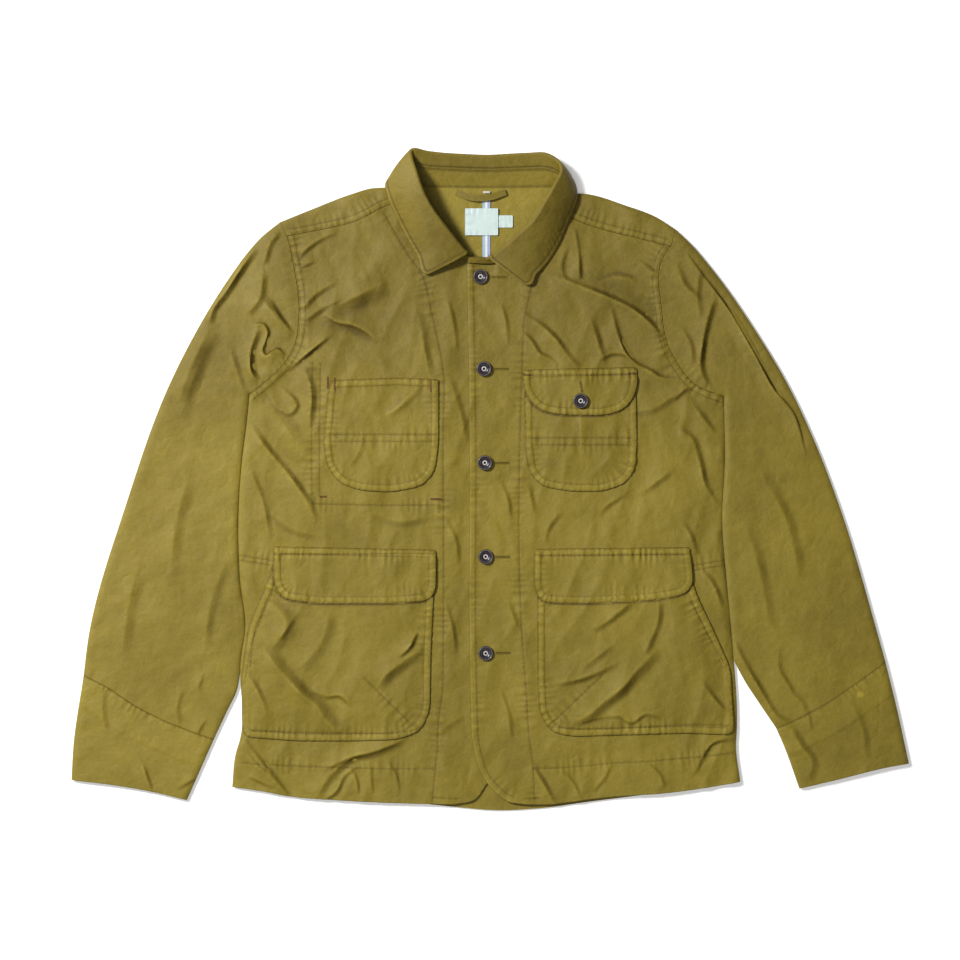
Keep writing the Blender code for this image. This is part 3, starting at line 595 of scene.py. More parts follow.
def back_face(points):
    """The side that lies on the surface: flat, and turned up at the sides."""
    groove, worn = sewn(points, back_rows)
    height = np.maximum(0.5 - groove * 0.5 + 0.25 * waves(points, 80, 160, 60, 4.0), 0.0)
    return turned(points, height, back_folds, back_cuts, SIDE_ROUND, lower=True), worn


back_shell = Shell()
back_shell.layer(back_loop, back_fold, back_face, PLAIN_STEP, back_rows, lower=True, alone=True)
back = back_shell.make("back", cotton)
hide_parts("back")
laid(back_loop)

# ---------------------------------------------------------------- fronts
# Two fronts of the same waxed cotton. The wearer's left front laps over the right one; each has a
# facing behind its edge, a turned hem, and is felled to the back at its side seam. Washing has
# creased them across the chest and puckered them along every row of stitches.
REST = 6.3               # top face of the fronts, the yoke and the sleeve tops
LOWEST = 3.9             # and the lowest that a crease brings it
CALM_REACH = 12.0        # how far from an armhole its creases fade out
LAP_SINK = 2.0           # the right front runs this much lower under the left one
YOKE_SEAM_RIGHT = [(-98, 322), (-118, 316), (-154, 298), (-191, 289), (-234, 281)]
YOKE_SEAM_LEFT = [(76, 311), (104, 297), (135, 287), (172, 278), (208, 270)]
NECK_RIGHT = [(-98, 322), (-88, 313), (-76, 299), (-60, 280), (-40, 263), (-26, 252), (12, 250)]
NECK_LEFT = [(76, 311), (72, 303), (57, 281), (37, 263), (11, 249), (-27, 249)]
HEM_RIGHT = [(-297, -353), (-267, -357), (-229, -364), (-178, -368), (-91, -372), (-42, -373)]
CORNER_RIGHT = [(-42, -373), (-17, -367), (-4, -350), (12, -330)]
HEM_LEFT = [(288, -347), (260, -352), (202, -360), (145, -364), (115, -367), (69, -373),
            (41, -373)]
CORNER_LEFT = [(41, -373), (19, -369), (4, -357), (-7, -344), (-16, -322), (-22, -292)]
FRONT_EDGE = [(-22, -292), (-24, -184), (-24, 46), (-27, 249)]
FACING_RIGHT = [(-122, 307), (-94, 259), (-77, 234), (-68, 197), (-63, 175), (-54, 127), (-54, 46),
                (-54, -184), (-56, -253), (-59, -272), (-61, -312), (-63, -332), (-67, -371)]
FACING_LEFT = [(48, 223), (40, 187), (37, 127), (37, -184), (42, -253), (44, -286), (49, -327),
               (51, -368)]
HEM_ROW_RIGHT = [(-286, -325), (-260, -327), (-184, -330), (-104, -332), (-67, -332)]
HEM_ROW_LEFT = [(49, -332), (92, -330), (133, -326), (184, -323), (231, -319), (280, -314)]
PATCH_ROWS = [[(-204, 135), (-205, 58), (-205, -26)], [(-195, 135), (-196, 58), (-196, -18)],
              [(-205, -27), (-150, -28.5), (-56, -28.5)]]
WAIST_RIGHT = [(-290, -89), (-253, -95)]
WAIST_LEFT = [(232, -101), (269, -95)]
WAIST_ROWS = (-2.8, 2.8)
HEM_END_RIGHT = [(-65, -365), (-36, -366.5)]
HEM_END_LEFT = [(39, -366), (56, -365.5)]
FELL_BAND = (7.8, 0.45, 1.0)       # width, rise, and strength of the wear and the painted edge lines of a felled seam
LAP_BAND = (7.8, 0.5, 1.0)         # of the lapping edge
HEM_BAND = (40.0, 0.3, 0.4)        # and of the turned hem
FRONT_ROUND = 9.0
FINE = 2.0                         # spacing of the mesh over creased cloth
# width of the steep side, height, and the crest from end to end with the steep side on its right
CREASES_FRONT = [
    (5, 1.8, [(-223, 252), (-212, 265), (-192, 279), (-175, 286)]),
    (4, 1.2, [(-219, 244), (-201, 253)]),
    (4.5, 2.0, [(103, 230), (100, 265), (96, 290)]),
    (6, 1.6, [(87, 228), (81, 246), (87, 269)]),
    (5, 1.6, [(185, 183), (195, 167), (206, 151)]),
    (6, 1.4, [(-253, -69), (-262, -23), (-276, 12)]),
    (7, 1.6, [(260, 51), (246, 69), (230, 92)]),
    (8, 2.4, [(-200, -365), (-188, -345), (-173, -329), (-159, -319), (-132, -312), (-99, -298)]),
    (4, 1.4, [(-152, -361), (-154, -345), (-161, -331)]),
    (4, 1.2, [(-135, -362), (-137, -345), (-137, -329)]),
    (5, 1.8, [(-231, -362), (-253, -336), (-270, -316), (-284, -296)]),
    (4, 1.2, [(-105, -360), (-108, -342), (-115, -327)]),
    (5, 1.3, [(-40, -201), (-44, -168), (-53, -138)]),
    (5, 1.2, [(-37, -99), (-40, -69), (-51, -46)]),
    (5, 1.4, [(103, -365), (94, -347), (80, -333)]),
    (5, 1.3, [(117, -358), (131, -342), (138, -327)]),
    (5, 1.4, [(200, -354), (195, -340), (184, -329)]),
    (6, 1.3, [(62, -74), (66, -57), (80, -36)]),
    (6, 1.4, [(237, -87), (230, -64), (218, -46)]),
    (5, 1.2, [(23, -46), (20, -23), (11, 0)]),
    (5, 1.2, [(24, -299), (20, -266), (11, -241)]),
    (5, 1.3, [(-39, 148), (-42, 179), (-49, 207)]),
    (5, 1.2, [(20, 154), (18, 182), (9, 207)]),
    (4, 1.2, [(-221, 230), (-223, 251), (-233, 276)]),
    (4.5, 1.6, [(-192, 192), (-178, 183), (-154, 177), (-135, 164), (-131, 156)]),
    (26, 2.6, [(210, 134), (170, 192), (118, 218), (71, 236)]),
    (22, 1.8, [(-262, 88), (-238, 56), (-214, 22)]),
    (12, 2.4, [(-192, 192), (-179, 183), (-154, 177), (-135, 164), (-131, 156)]),
    (20, 4.8, [(-191, 193), (-154, 211), (-118, 229)]),
    (4.5, 2.8, [(-234, 126), (-212, 144), (-185, 166)]),
    (7, 2.4, [(-208, 60), (-206, 106), (-214, 129)]),
    (6, 1.7, [(-218, 194), (-204, 211), (-177, 229)]),
    (6, 1.7, [(-215, 182), (-196, 196), (-172, 208)]),
    (5, 1.7, [(-256, 103), (-244, 83), (-229, 77), (-223, 84), (-242, 108)]),
    (7, 2.8, [(-199, -48), (-212, -22), (-230, 4), (-259, 39), (-275, 62)]),
    (16, 1.6, [(-210, 28), (-233, 58), (-256, 92)]),
    (8, 1.6, [(-69, 118), (-76, 154), (-81, 187)]),
    (7, 1.4, [(-27, 41), (-34, 77), (-46, 115)]),
    (8, 1.2, [(-118, 74), (-95, 93), (-76, 112)]),
    (6, 2.6, [(210, 134), (194, 167), (183, 181), (170, 192), (145, 206), (118, 217), (93, 227),
              (71, 236)]),
    (6, 2.2, [(103, 127), (87, 146), (76, 161), (59, 177), (37, 191)]),
    (5, 1.9, [(78, 129), (69, 139), (57, 145), (49, 158), (35, 172)]),
    (7, 1.9, [(132, 131), (124, 158), (116, 184)]),
    (5, 2.8, [(218, 116), (196, 118), (183, 126), (168, 133), (156, 146), (147, 167), (139, 198)]),
    (4.5, 1.6, [(124, 138), (141, 146), (154, 145), (172, 129)]),
    (5, 1.8, [(211, 93), (226, 106), (237, 111)]),
    (8, 1.5, [(163, 80), (187, 82), (202, 91), (218, 103)]),
    (7, 2.4, [(264, -31), (248, -8), (240, 24), (232, 47), (216, 58)]),
    (7, 1.5, [(172, -15), (191, -2), (207, 11)]),
    (6, 1.2, [(124, -42), (130, -33), (156, -15)]),
    (6, 1.2, [(50, -39), (43, -2)]),
    (8, 1.8, [(169, 229), (145, 234), (123, 226)]),
    (5, 1.3, [(196, 233), (172, 251)]),
    (5, 1.2, [(77, 229), (81, 253)]),
    (5, 1.2, [(103, 231), (103, 258)]),
    (5, 1.7, [(-196, -334), (-173, -324), (-161, -318), (-137, -312), (-104, -300)]),
    (5, 1.9, [(-196, -371), (-176, -356), (-168, -340), (-150, -327)]),
    (4, 1.4, [(-229, -367), (-253, -340), (-272, -324), (-280, -314)]),
    (4, 1.2, [(-277, -340), (-260, -348), (-247, -353)]),
    (7, 1.0, [(-58, -288), (-30, -270)]),
    (5, 2.0, [(234, -339), (241, -324), (247, -312), (256, -302), (284, -296)]),
    (6, 2.2, [(75, -375), (61, -349), (47, -327)]),
    (6, 1.8, [(267, -149), (256, -120), (242, -102)]),
    (6, 1.0, [(32, -172), (20, -139)]),
    (9, 1.4, [(-253, -36), (-228, -55), (-198, -64)]),
    (9, 1.3, [(-136, -36), (-106, -47), (-69, -41)]),
]


def creases(points, rows):
    """Height and shade that creases add: a gentle side up to a crest, then a steep one down."""
    height, shade = np.zeros(len(points)), np.zeros(len(points))
    for number, (steep, rise, crest) in enumerate(rows):
        line = smooth(crest, 4.0)
        wide = 9.0 + 1.6 * steep
        gap, along = nearest(points, line, steep + wide)
        over = np.clip(-gap / steep, 0.0, 1.0)
        up = np.maximum(1.0 - np.maximum(gap, 0.0) / wide, 0.0) ** 1.6
        after = np.maximum(1.0 - np.maximum(-gap - steep, 0.0) / wide, 0.0) ** 1.6
        form = np.where(gap > 0.0, up, 1.0 - 1.35 * np.sin(0.5 * math.pi * over))
        form = np.where(over >= 1.0, -0.35 * after, form)
        length = 4.0 * (len(line) - 1)
        ends = np.sin(math.pi * np.clip(along / length, 0.0, 1.0)) ** 0.6
        ends *= 1.0 + 0.2 * np.sin(along / 9.0 + number)
        height += rise * form * ends
        # Painted shade down the steep side and a painted highlight along the crest.
        core = np.exp(-((-gap - 0.5 * steep) / (0.3 * steep + 0.5)) ** 2)
        dark = core - 0.45 * np.exp(-((gap - 0.8) / 1.8) ** 2)
        shade -= min(0.3 * rise, 0.9) * min(8.0 / steep, 1.0) * dark * ends
    return height, shade


def crests(rows):
    """Lines of mesh points along the crest and the foot of each sharp crease."""
    return [beside(smooth(crest), -share * steep) for steep, _, crest in rows
            if steep < 10 for share in (0.15, 0.85)]


def drape(points, turn, seed, lively=1.0):
    """The soft unevenness of cloth that was washed and laid down by hand."""
    broad = waves(points, turn, 240, 75, seed)
    middling = waves(points, turn + 35, 80, 34, seed + 5)
    sharp = 0.5 - np.abs(waves(points, turn - 25, 90, 30, seed + 9)) * 1.8
    small = waves(points, turn + 10, 24, 13, seed + 13)
    return 1.1 * broad + lively * (1.0 * middling + 0.85 * sharp + 0.4 * small)


def above(height, low):
    """The height, eased off so that it stays above a lowest one."""
    return low + 0.5 * np.logaddexp(0.0, (height - low) / 0.5)


def calm(points, lines, reach):
    """0 at the given lines and 1 away from them."""
    keep = np.ones(len(points))
    for line in lines:
        keep = np.minimum(keep, ramp(np.abs(nearest(points, line, reach)[0]), 1.0, reach))
    return keep


def front_rest(points, under):
    """Top face and shade of the fronts and the yoke before their seams are sewn."""
    keep = calm(points, (armhole_right, armhole_left), CALM_REACH)
    form, shade = creases(points, CREASES_FRONT)
    height = REST + keep * (drape(points, 100, 3.0) + form)
    from_neck = np.minimum(*(np.abs(nearest(points, line, 90.0)[0])
                             for line in (neck_right, neck_left)))
    height = np.minimum(height, 6.9 + 0.12 * np.maximum(from_neck - 44.0, 0.0))
    height = above(height, LOWEST)
    if under:
        height = height - LAP_SINK * ramp(points[:, 0], -50.0, -27.0)
    return height, shade * keep


yoke_right_at = at_height(armhole_right, YOKE_SEAM_RIGHT[-1][1])
yoke_left_at = at_height(armhole_left, YOKE_SEAM_LEFT[-1][1])
yoke_right = smooth(YOKE_SEAM_RIGHT[:-1] + [tuple(armhole_right[yoke_right_at])])
yoke_left = smooth(YOKE_SEAM_LEFT[:-1] + [tuple(armhole_left[yoke_left_at])])
neck_right, neck_left = smooth(NECK_RIGHT), smooth(NECK_LEFT)
hidden_edge = smooth([CORNER_RIGHT[-1], NECK_RIGHT[-1]], 6.0)
corner_right = smooth(CORNER_RIGHT)
front_edge, corner_left = smooth(FRONT_EDGE), smooth(CORNER_LEFT)
hem_right, hem_left = smooth(HEM_RIGHT), smooth(HEM_LEFT)
lap_line = np.vstack((corner_left[:-1], front_edge))
set_in_right, set_in_left = armhole_right[yoke_right_at:], armhole_left[yoke_left_at:]
rows_right = ([smooth(row) for row in [FACING_RIGHT, HEM_ROW_RIGHT] + PATCH_ROWS]
              + felled(set_in_right, 1)
              + [beside(smooth(WAIST_RIGHT), off) for off in WAIST_ROWS] + [smooth(HEM_END_RIGHT)])
rows_left = ([smooth(FACING_LEFT), smooth(HEM_ROW_LEFT), beside(lap_line, -FELL_ROWS[1])[6:]]
             + felled(set_in_left, -1)
             + [beside(smooth(WAIST_LEFT), off) for off in WAIST_ROWS] + [smooth(HEM_END_LEFT)])


def front_top(points, under, rows, bands, folds, cuts, radius):
    """Height and wear of the top of a front or of the yoke, stitched and folded."""
    height, shade = front_rest(points, under)
    groove, worn = sewn(points, rows)
    height, worn = banded(points, height + groove, shade + worn, bands)
    return turned(points, height, folds, cuts, radius), worn


def front_piece(name, edges, under, rows, bands):
    """One front cut to its outline, with that outline and its top face."""
    loop, fold, folds, cuts = outline(edges)

    def face(points):
        return front_top(points, under, rows, bands, folds, cuts, FRONT_ROUND)

    made = Shell()
    made.layer(loop, fold, face, FINE, rows + crests(CREASES_FRONT), alone=True)
    piece = made.make(name, cotton)
    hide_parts(name)
    return piece, loop, face


front_right, right_loop, front_right_face = front_piece(
    "front_right", [(hem_right, "free"), (corner_right, "free"), (hidden_edge, "free"),
                    (neck_right[::-1], "free"), (yoke_right, "seam"), (set_in_right, "seam"),
                    (side_right, "fold")],
    True, rows_right, [(set_in_right, 1, *FELL_BAND), (hem_right, 1, *HEM_BAND)])
front_left, left_loop, front_left_face = front_piece(
    "front_left", [(front_edge[::-1], "free"), (corner_left[::-1], "free"),
                   (hem_left[::-1], "free"), (side_left[::-1], "fold"),
                   (set_in_left[::-1], "seam"), (yoke_left[::-1], "seam"), (neck_left, "free")],
    False, rows_left, [(set_in_left, -1, *FELL_BAND), (lap_line, -1, *LAP_BAND),
                       (hem_left, -1, *HEM_BAND)])
thread_right = stitches("thread_front_right", rows_right, front_right_face)
thread_left = stitches("thread_front_left", rows_left, front_left_face)
laid(right_loop)
laid(left_loop)

# ---------------------------------------------------------------- yoke
# One piece of waxed cotton over both shoulders. It runs from a seam across the back, round the
# folded shoulder line, to a short felled seam on each front.
SHOULDER_RIGHT = [(-99, 336), (-121, 337), (-137, 336), (-158, 330), (-205, 312), (-242, 297)]
SHOULDER_LEFT = [(87, 331), (115, 329), (154, 317), (191, 303), (213, 289)]
NECK_BACK = [(87, 331), (68, 339), (-5, 339), (-73, 339), (-99, 336)]
SHOULDER_ROUND = 7.0
shoulder_right, shoulder_left = smooth(SHOULDER_RIGHT), smooth(SHOULDER_LEFT)
yoke_rows_right, yoke_rows_left = felled(yoke_right[:-2], -1), felled(yoke_left[:-2], 1)
yoke_shell = Shell()


def yoke_part(edges, seam, side, rows):
    """The part of the yoke in front of one shoulder, and its flat area."""
    loop, fold, folds, cuts = outline(edges)

    def face(points):
        return front_top(points, False, rows, [(seam, side, *FELL_BAND)], folds, cuts,
                         SHOULDER_ROUND)

    yoke_shell.layer(loop, fold, face, FINE, rows)
    return face, cut_size(loop)[1]


face_right, area_right = yoke_part(
    [(yoke_right[::-1], "seam"), (smooth([YOKE_SEAM_RIGHT[0], SHOULDER_RIGHT[0]]), "free"),
     (shoulder_right, "fold"), (armhole_right[:yoke_right_at + 1], "seam")],
    yoke_right, -1, yoke_rows_right)
face_left, area_left = yoke_part(
    [(yoke_left, "seam"), (armhole_left[:yoke_left_at + 1][::-1], "seam"),
     (shoulder_left[::-1], "fold"), (smooth([SHOULDER_LEFT[0], YOKE_SEAM_LEFT[0]]), "free")],
    yoke_left, 1, yoke_rows_left)
yoke_loop, yoke_fold, yoke_folds, yoke_cuts = outline([
    (back_yoke_seam, "free"), (armhole_left[:under_yoke_left + 1][::-1], "free"),
    (shoulder_left[::-1], "fold"), (smooth(NECK_BACK), "free"),
    (shoulder_right, "fold"), (armhole_right[:under_yoke_right + 1], "free")])


def yoke_back_face(points):
    """The part of the yoke behind the shoulders, which lies on the surface."""
    height = np.maximum(0.3 + 0.25 * waves(points, 10, 120, 60, 7.0), 0.0)
    return (turned(points, height, yoke_folds, yoke_cuts, SHOULDER_ROUND, lower=True),
            np.zeros(len(points)))


# Its upward inner face, seen inside the neck, gets painted light where the collar shades it.
yoke_shell.layer(yoke_loop, yoke_fold, yoke_back_face, PLAIN_STEP, lower=True, inside_worn=0.6)
yoke = yoke_shell.make("yoke", cotton)
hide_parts("yoke")
thread_yoke_right = stitches("thread_yoke_right", yoke_rows_right, face_right)
thread_yoke_left = stitches("thread_yoke_left", yoke_rows_left, face_left)
cut_size(yoke_loop)[1] + area_right + area_left

# ---------------------------------------------------------------- sleeves and cuffs
# Each sleeve is one piece of waxed cotton sewn into a tube and set into the armhole. Laid down, it
# is pressed flat with a fold on either side. A deep cuff of the same cloth, cut aslant, is felled
# to its end and hemmed.
SLEEVE_LEAVES_RIGHT = -222         # where a sleeve lies apart from the side seam
SLEEVE_LEAVES_LEFT = -208
SLEEVE_STEP = 2.2
CUFF_STEP = 1.9
UNDER_STEP = 6.0
CUFF_ROW = 1.4
CUFF_BAND = (34.0, 0.45, 1.0)
CUFF_MARK = (425.5, -246.5, 4.4, 3.2)   # a rubbed spot: its place, width and length
SLEEVE_OUTER_RIGHT = [(-242, 297), (-262, 281), (-284, 256), (-299, 235), (-367, 115),
                      (-419, -27), (-463, -184), (-468, -224)]
SLEEVE_END_RIGHT = [(-291, -240), (-303, -266), (-318, -298)]
SLEEVE_OUTER_LEFT = [(213, 289), (232, 271), (254, 245), (310, 165), (340, 115), (375, 41),
                     (401, -27), (448, -184), (455, -209)]
SLEEVE_END_LEFT = [(293, -231), (310, -257), (329, -285)]
CUFF_SEAM_RIGHT = [(-318, -298), (-341, -290), (-400, -264), (-446, -235), (-468, -224)]
CUFF_SEAM_LEFT = [(329, -285), (344, -279), (372, -265), (413, -239), (455, -209)]
CUFF_OUTER_RIGHT = [(-468, -224), (-480, -308), (-482, -345)]
CUFF_OUTER_LEFT = [(455, -209), (468, -262), (482, -326)]
CUFF_INNER_RIGHT = [(-318, -298), (-349, -368)]
CUFF_INNER_LEFT = [(329, -285), (337, -303), (356, -355)]
CUFF_HEM_RIGHT = [(-349, -368), (-391, -358), (-439, -350), (-482, -345)]
CUFF_HEM_LEFT = [(356, -355), (398, -345), (459, -330), (482, -326)]
CREASES_SLEEVE_RIGHT = [
    (7, 3.8, [(-323, 180), (-319, 196), (-305, 215), (-288, 241), (-277, 257), (-269, 268)]),
    (13, 2.4, [(-359, 90), (-348, 121), (-336, 148), (-323, 177)]),
    (6, 2.2, [(-260, 248), (-252, 273), (-241, 287)]),
    (7, 1.6, [(-282, 98), (-290, 121), (-299, 150)]),
    (9, 1.8, [(-237, 173), (-251, 194), (-262, 207)]),
    (4, 3.2, [(-242, 131), (-238, 146), (-244, 150), (-259, 143), (-262, 149), (-259, 158),
              (-256, 172), (-261, 179), (-275, 177)]),
    (7, 4.8, [(-265, 111), (-274, 123), (-276, 144), (-267, 173)]),
    (5, 2.2, [(-227, 168), (-242, 187), (-253, 206)]),
    (7, 2.2, [(-279, 192), (-267, 205), (-261, 237)]),
    (12, 2.0, [(-357, 72), (-338, 125), (-315, 173)]),
    (13, 1.6, [(-368, -110), (-361, -46), (-345, 12)]),
    (10, 1.4, [(-329, -195), (-322, -145), (-304, -92)]),
    (14, 1.6, [(-423, -202), (-417, -149), (-403, -92)]),
]
CREASES_SLEEVE_LEFT = [
    (7, 1.6, [(241, 207), (223, 225), (214, 251)]),
    (6, 1.5, [(232, 133), (230, 156), (221, 173)]),
    (7, 1.6, [(241, 187), (238, 217), (241, 242)]),
    (7, 3.6, [(250, 105), (242, 129), (244, 158), (249, 181), (257, 208)]),
    (3, 3.2, [(363, 28), (348, 77), (325, 106), (305, 143), (293, 164), (278, 190), (260, 215),
              (246, 233), (226, 260)]),
    (12, 1.8, [(356, -115), (340, -46), (310, 12)]),
    (12, 1.6, [(322, -172), (310, -108), (292, -46)]),
    (6, 2.2, [(347, -281), (330, -272), (320, -257), (307, -235), (302, -227), (280, -186)]),
    (6, 1.4, [(361, -273), (359, -257), (348, -246), (342, -235), (333, -220), (332, -188)]),
]
CREASES_CUFF_RIGHT = [
    (4, 1.4, [(-389, -358), (-395, -341), (-400, -325)]),
    (6, 1.0, [(-440, -291), (-445, -272), (-445, -239)]),
    (6, 1.1, [(-358, -283), (-360, -260), (-354, -238)]),
    (4, 1.0, [(-336, -241), (-330, -220)]),
    (4, 1.1, [(-338, -293), (-328, -275)]),
    (4, 1.1, [(-361, -355), (-335, -340)]),
]
CREASES_CUFF_LEFT = [
    (9, 2.0, [(365, -345), (370, -323), (359, -308), (342, -279)]),
    (4, 1.1, [(369, -288), (365, -264)]),
    (8, 1.0, [(432, -322), (428, -287), (414, -253)]),
]


def tube(name, edges, crease_rows, turn, seed, rows, bands, step, gathers=(), faded=()):
    """A flattened tube: its top layer with all its detail, and a plain one beneath."""
    loop, fold, folds, cuts = outline([(line, "fold" if k % 2 else "seam")
                                       for k, line in enumerate(edges)])

    def face(points):
        keep = calm(points, (armhole_right, armhole_left), CALM_REACH)
        form, shade = creases(points, crease_rows)
        groove, worn = sewn(points, rows)
        height = above(REST + keep * (drape(points, turn, seed, 0.3) + form)
                       + gathered(points, gathers), LOWEST) + groove
        worn = worn + shade * keep
        for x, y, width, length in faded:
            spot = ((points[:, 0] - x) / width) ** 2 + ((points[:, 1] - y) / length) ** 2
            worn = worn + 1.1 * np.exp(-spot ** 2)
        height, worn = banded(points, height, worn, bands)
        return turned(points, height, folds, cuts, SIDE_ROUND), worn

    def under_face(points):
        """The layer that lies on the surface."""
        height = np.maximum(0.3 + 0.25 * waves(points, turn, 120, 50, seed + 2.0), 0.0)
        return turned(points, height, folds, cuts, SIDE_ROUND, lower=True), np.zeros(len(points))

    made = Shell()
    made.layer(loop, fold, face, step, rows + crests(crease_rows))
    made.layer(loop, fold, under_face, UNDER_STEP, lower=True)
    piece = made.make(name, cotton)
    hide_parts(name)
    thread = [stitches("thread_" + name, rows, face)] if rows else []
    laid(loop, layers=2)


leaves_right = at_height(side_right, SLEEVE_LEAVES_RIGHT)
leaves_left = at_height(side_left, SLEEVE_LEAVES_LEFT)
inner_right = np.vstack((side_right[:leaves_right],
                         smooth([tuple(side_right[leaves_right])] + SLEEVE_END_RIGHT)))
inner_left = np.vstack((side_left[:leaves_left],
                        smooth([tuple(side_left[leaves_left])] + SLEEVE_END_LEFT)))
cuff_seam_right, cuff_seam_left = smooth(CUFF_SEAM_RIGHT), smooth(CUFF_SEAM_LEFT)
cuff_hem_right, cuff_hem_left = smooth(CUFF_HEM_RIGHT), smooth(CUFF_HEM_LEFT)
tube("sleeve_right", (armhole_right[::-1], smooth(SLEEVE_OUTER_RIGHT),
                      cuff_seam_right[::-1], inner_right[::-1]),
     CREASES_SLEEVE_RIGHT + CREASES_CUFF_RIGHT, -115, 21.0, [], [], SLEEVE_STEP, [armhole_right])
tube("sleeve_left", (armhole_left, inner_left, cuff_seam_left,
                     smooth(SLEEVE_OUTER_LEFT)[::-1]),
     CREASES_SLEEVE_LEFT + CREASES_CUFF_LEFT, -65, 31.0, [], [], SLEEVE_STEP, [armhole_left])
tube("cuff_right", (cuff_seam_right, smooth(CUFF_OUTER_RIGHT), cuff_hem_right[::-1],
                    smooth(CUFF_INNER_RIGHT)[::-1]),
     CREASES_SLEEVE_RIGHT + CREASES_CUFF_RIGHT, -115, 21.0,
     [beside(cuff_seam_right, CUFF_ROW)], [(cuff_seam_right, 1, *CUFF_BAND)], CUFF_STEP)
tube("cuff_left", (cuff_seam_left[::-1], smooth(CUFF_INNER_LEFT), cuff_hem_left,
                   smooth(CUFF_OUTER_LEFT)[::-1]),
     CREASES_SLEEVE_LEFT + CREASES_CUFF_LEFT, -65, 31.0,
     [beside(cuff_seam_left, -CUFF_ROW)], [(cuff_seam_left, -1, *CUFF_BAND)], CUFF_STEP,
     faded=[CUFF_MARK])

# ---------------------------------------------------------------- pockets and flaps
# Four patch pockets of the same cloth, sewn on with two rows round their rounded lower corners and
# left slightly full. The two hand pockets have square flaps and a slanted entry at the side seam;
# the wearer's left chest pocket has a buttoned flap.
CHEST_RIGHT = [(-184, 115), (-106, 118), (-59, 116), (-59, 45), (-63, 10), (-78, -7), (-113, -14),
               (-150, -12), (-175, -3), (-189, 17), (-192, 46), (-187, 100)]
CHEST_LEFT = [(39, 104), (40, 36), (44, 9), (58, -7), (91, -13), (130, -13), (156, -4), (168, 14),
              (169, 45), (168, 104)]
CHEST_FLAP = [(37, 127), (37, 108), (43, 94), (56, 80), (78, 75), (130, 74), (150, 79), (163, 90),
              (170, 108), (169, 130)]
HAND_RIGHT = [(-250, -94), (-63, -94), (-68, -203), (-69, -265), (-80, -289), (-105, -298),
              (-155, -300), (-223, -300), (-285, -295), (-286, -226), (-279, -170), (-253, -108)]
HAND_LEFT = [(54, -94), (54, -222), (56, -268), (70, -290), (96, -295), (152, -293), (224, -291),
             (281, -293), (277, -217), (261, -181), (236, -128), (228, -94)]
FLAP_RIGHT = [(-250, -76), (-62, -80), (-62, -128), (-70, -139), (-118, -142), (-198, -142),
              (-238, -137), (-249, -122)]
FLAP_LEFT = [(50, -79), (50, -128), (60, -141), (110, -142), (188, -138), (224, -132), (234, -120),
             (230, -77)]
CHEST_ROWS_RIGHT = [[(-184, 52.4), (-60, 52.4)], [(-184, 44.5), (-60, 44.5)]]
CHEST_ROWS_LEFT = [[(47, 48.6), (162, 48.6)], [(47, 40.6), (162, 40.6)]]
HAND_ROWS_RIGHT = [[(-276, -288), (-219, -290), (-161, -291), (-104, -290), (-78, -285)],
                   [(-144, -228), (-88, -283)], [(-250, -127), (-274, -189), (-281, -226)]]
HAND_ROWS_LEFT = [[(62, -283), (103, -286), (172, -284), (241, -281), (274, -282)],
                  [(129, -224), (74, -277)], [(230, -138), (247, -170), (268, -209)]]
PATCH_ROW_DEPTHS = (1.6, 8.2)
SIDE_MIDDLE = -5.0                 # of the body, between its side seams
SIDE_FROM = 268.0                  # from there out a hand pocket's edge is the side seam
SIDE_LOW, SIDE_HIGH = -284.0, -215.0
CREASES_CHEST_RIGHT = [
    (7, 1.0, [(-92, 98), (-108, 82), (-126, 73)]),
    (6, 0.7, [(-162, 16), (-150, 36), (-151, 50)]),
]
CREASES_CHEST_LEFT = [
    (4, 1.4, [(102, 76), (103, 58), (104, 36)]),
    (6, 0.8, [(140, 36), (132, 22), (118, 10)]),
]
CREASES_HAND_RIGHT = [
    (13, 4.0, [(-169, -292), (-189, -275), (-200, -258), (-214, -247), (-230, -231), (-247, -211),
              (-262, -191)]),
    (14, 3.0, [(-252, -195), (-234, -164), (-239, -154), (-256, -140)]),
    (6, 1.5, [(-242, -183), (-219, -148)]),
    (5, 1.7, [(-205, -241), (-187, -248), (-173, -247), (-158, -260)]),
    (6, 1.6, [(-256, -268), (-268, -241), (-282, -220)]),
    (4.5, 2.4, [(-105, -203), (-93, -192), (-84, -174)]),
    (12, 3.4, [(-130, -239), (-121, -225), (-101, -209), (-76, -193)]),
    (12, 1.6, [(-219, -216), (-193, -184), (-184, -151)]),
]
CREASES_HAND_LEFT = [
    (12, 4.2, [(93, -280), (114, -269), (128, -257), (146, -243), (156, -233), (164, -223),
              (176, -211), (193, -194)]),
    (7, 2.2, [(177, -200), (184, -184), (192, -164), (194, -138)]),
    (7, 2.0, [(117, -172), (134, -162), (148, -151), (162, -140)]),
    (7, 1.5, [(103, -219), (122, -203), (141, -189)]),
    (6, 1.8, [(72, -234), (100, -229), (122, -221), (147, -209)]),
    (6, 1.8, [(278, -273), (256, -250), (241, -229)]),
    (5, 1.7, [(146, -268), (164, -278), (176, -269), (199, -272)]),
    (5, 1.3, [(103, -279), (130, -272), (154, -270)]),
]


def anticlockwise(points):
    """A closed loop, turned round if it runs clockwise."""
    x, y = points[:, 0], points[:, 1]
    area = (x * np.roll(y, -1) - np.roll(x, -1) * y).sum()
    return points if area > 0 else points[::-1]


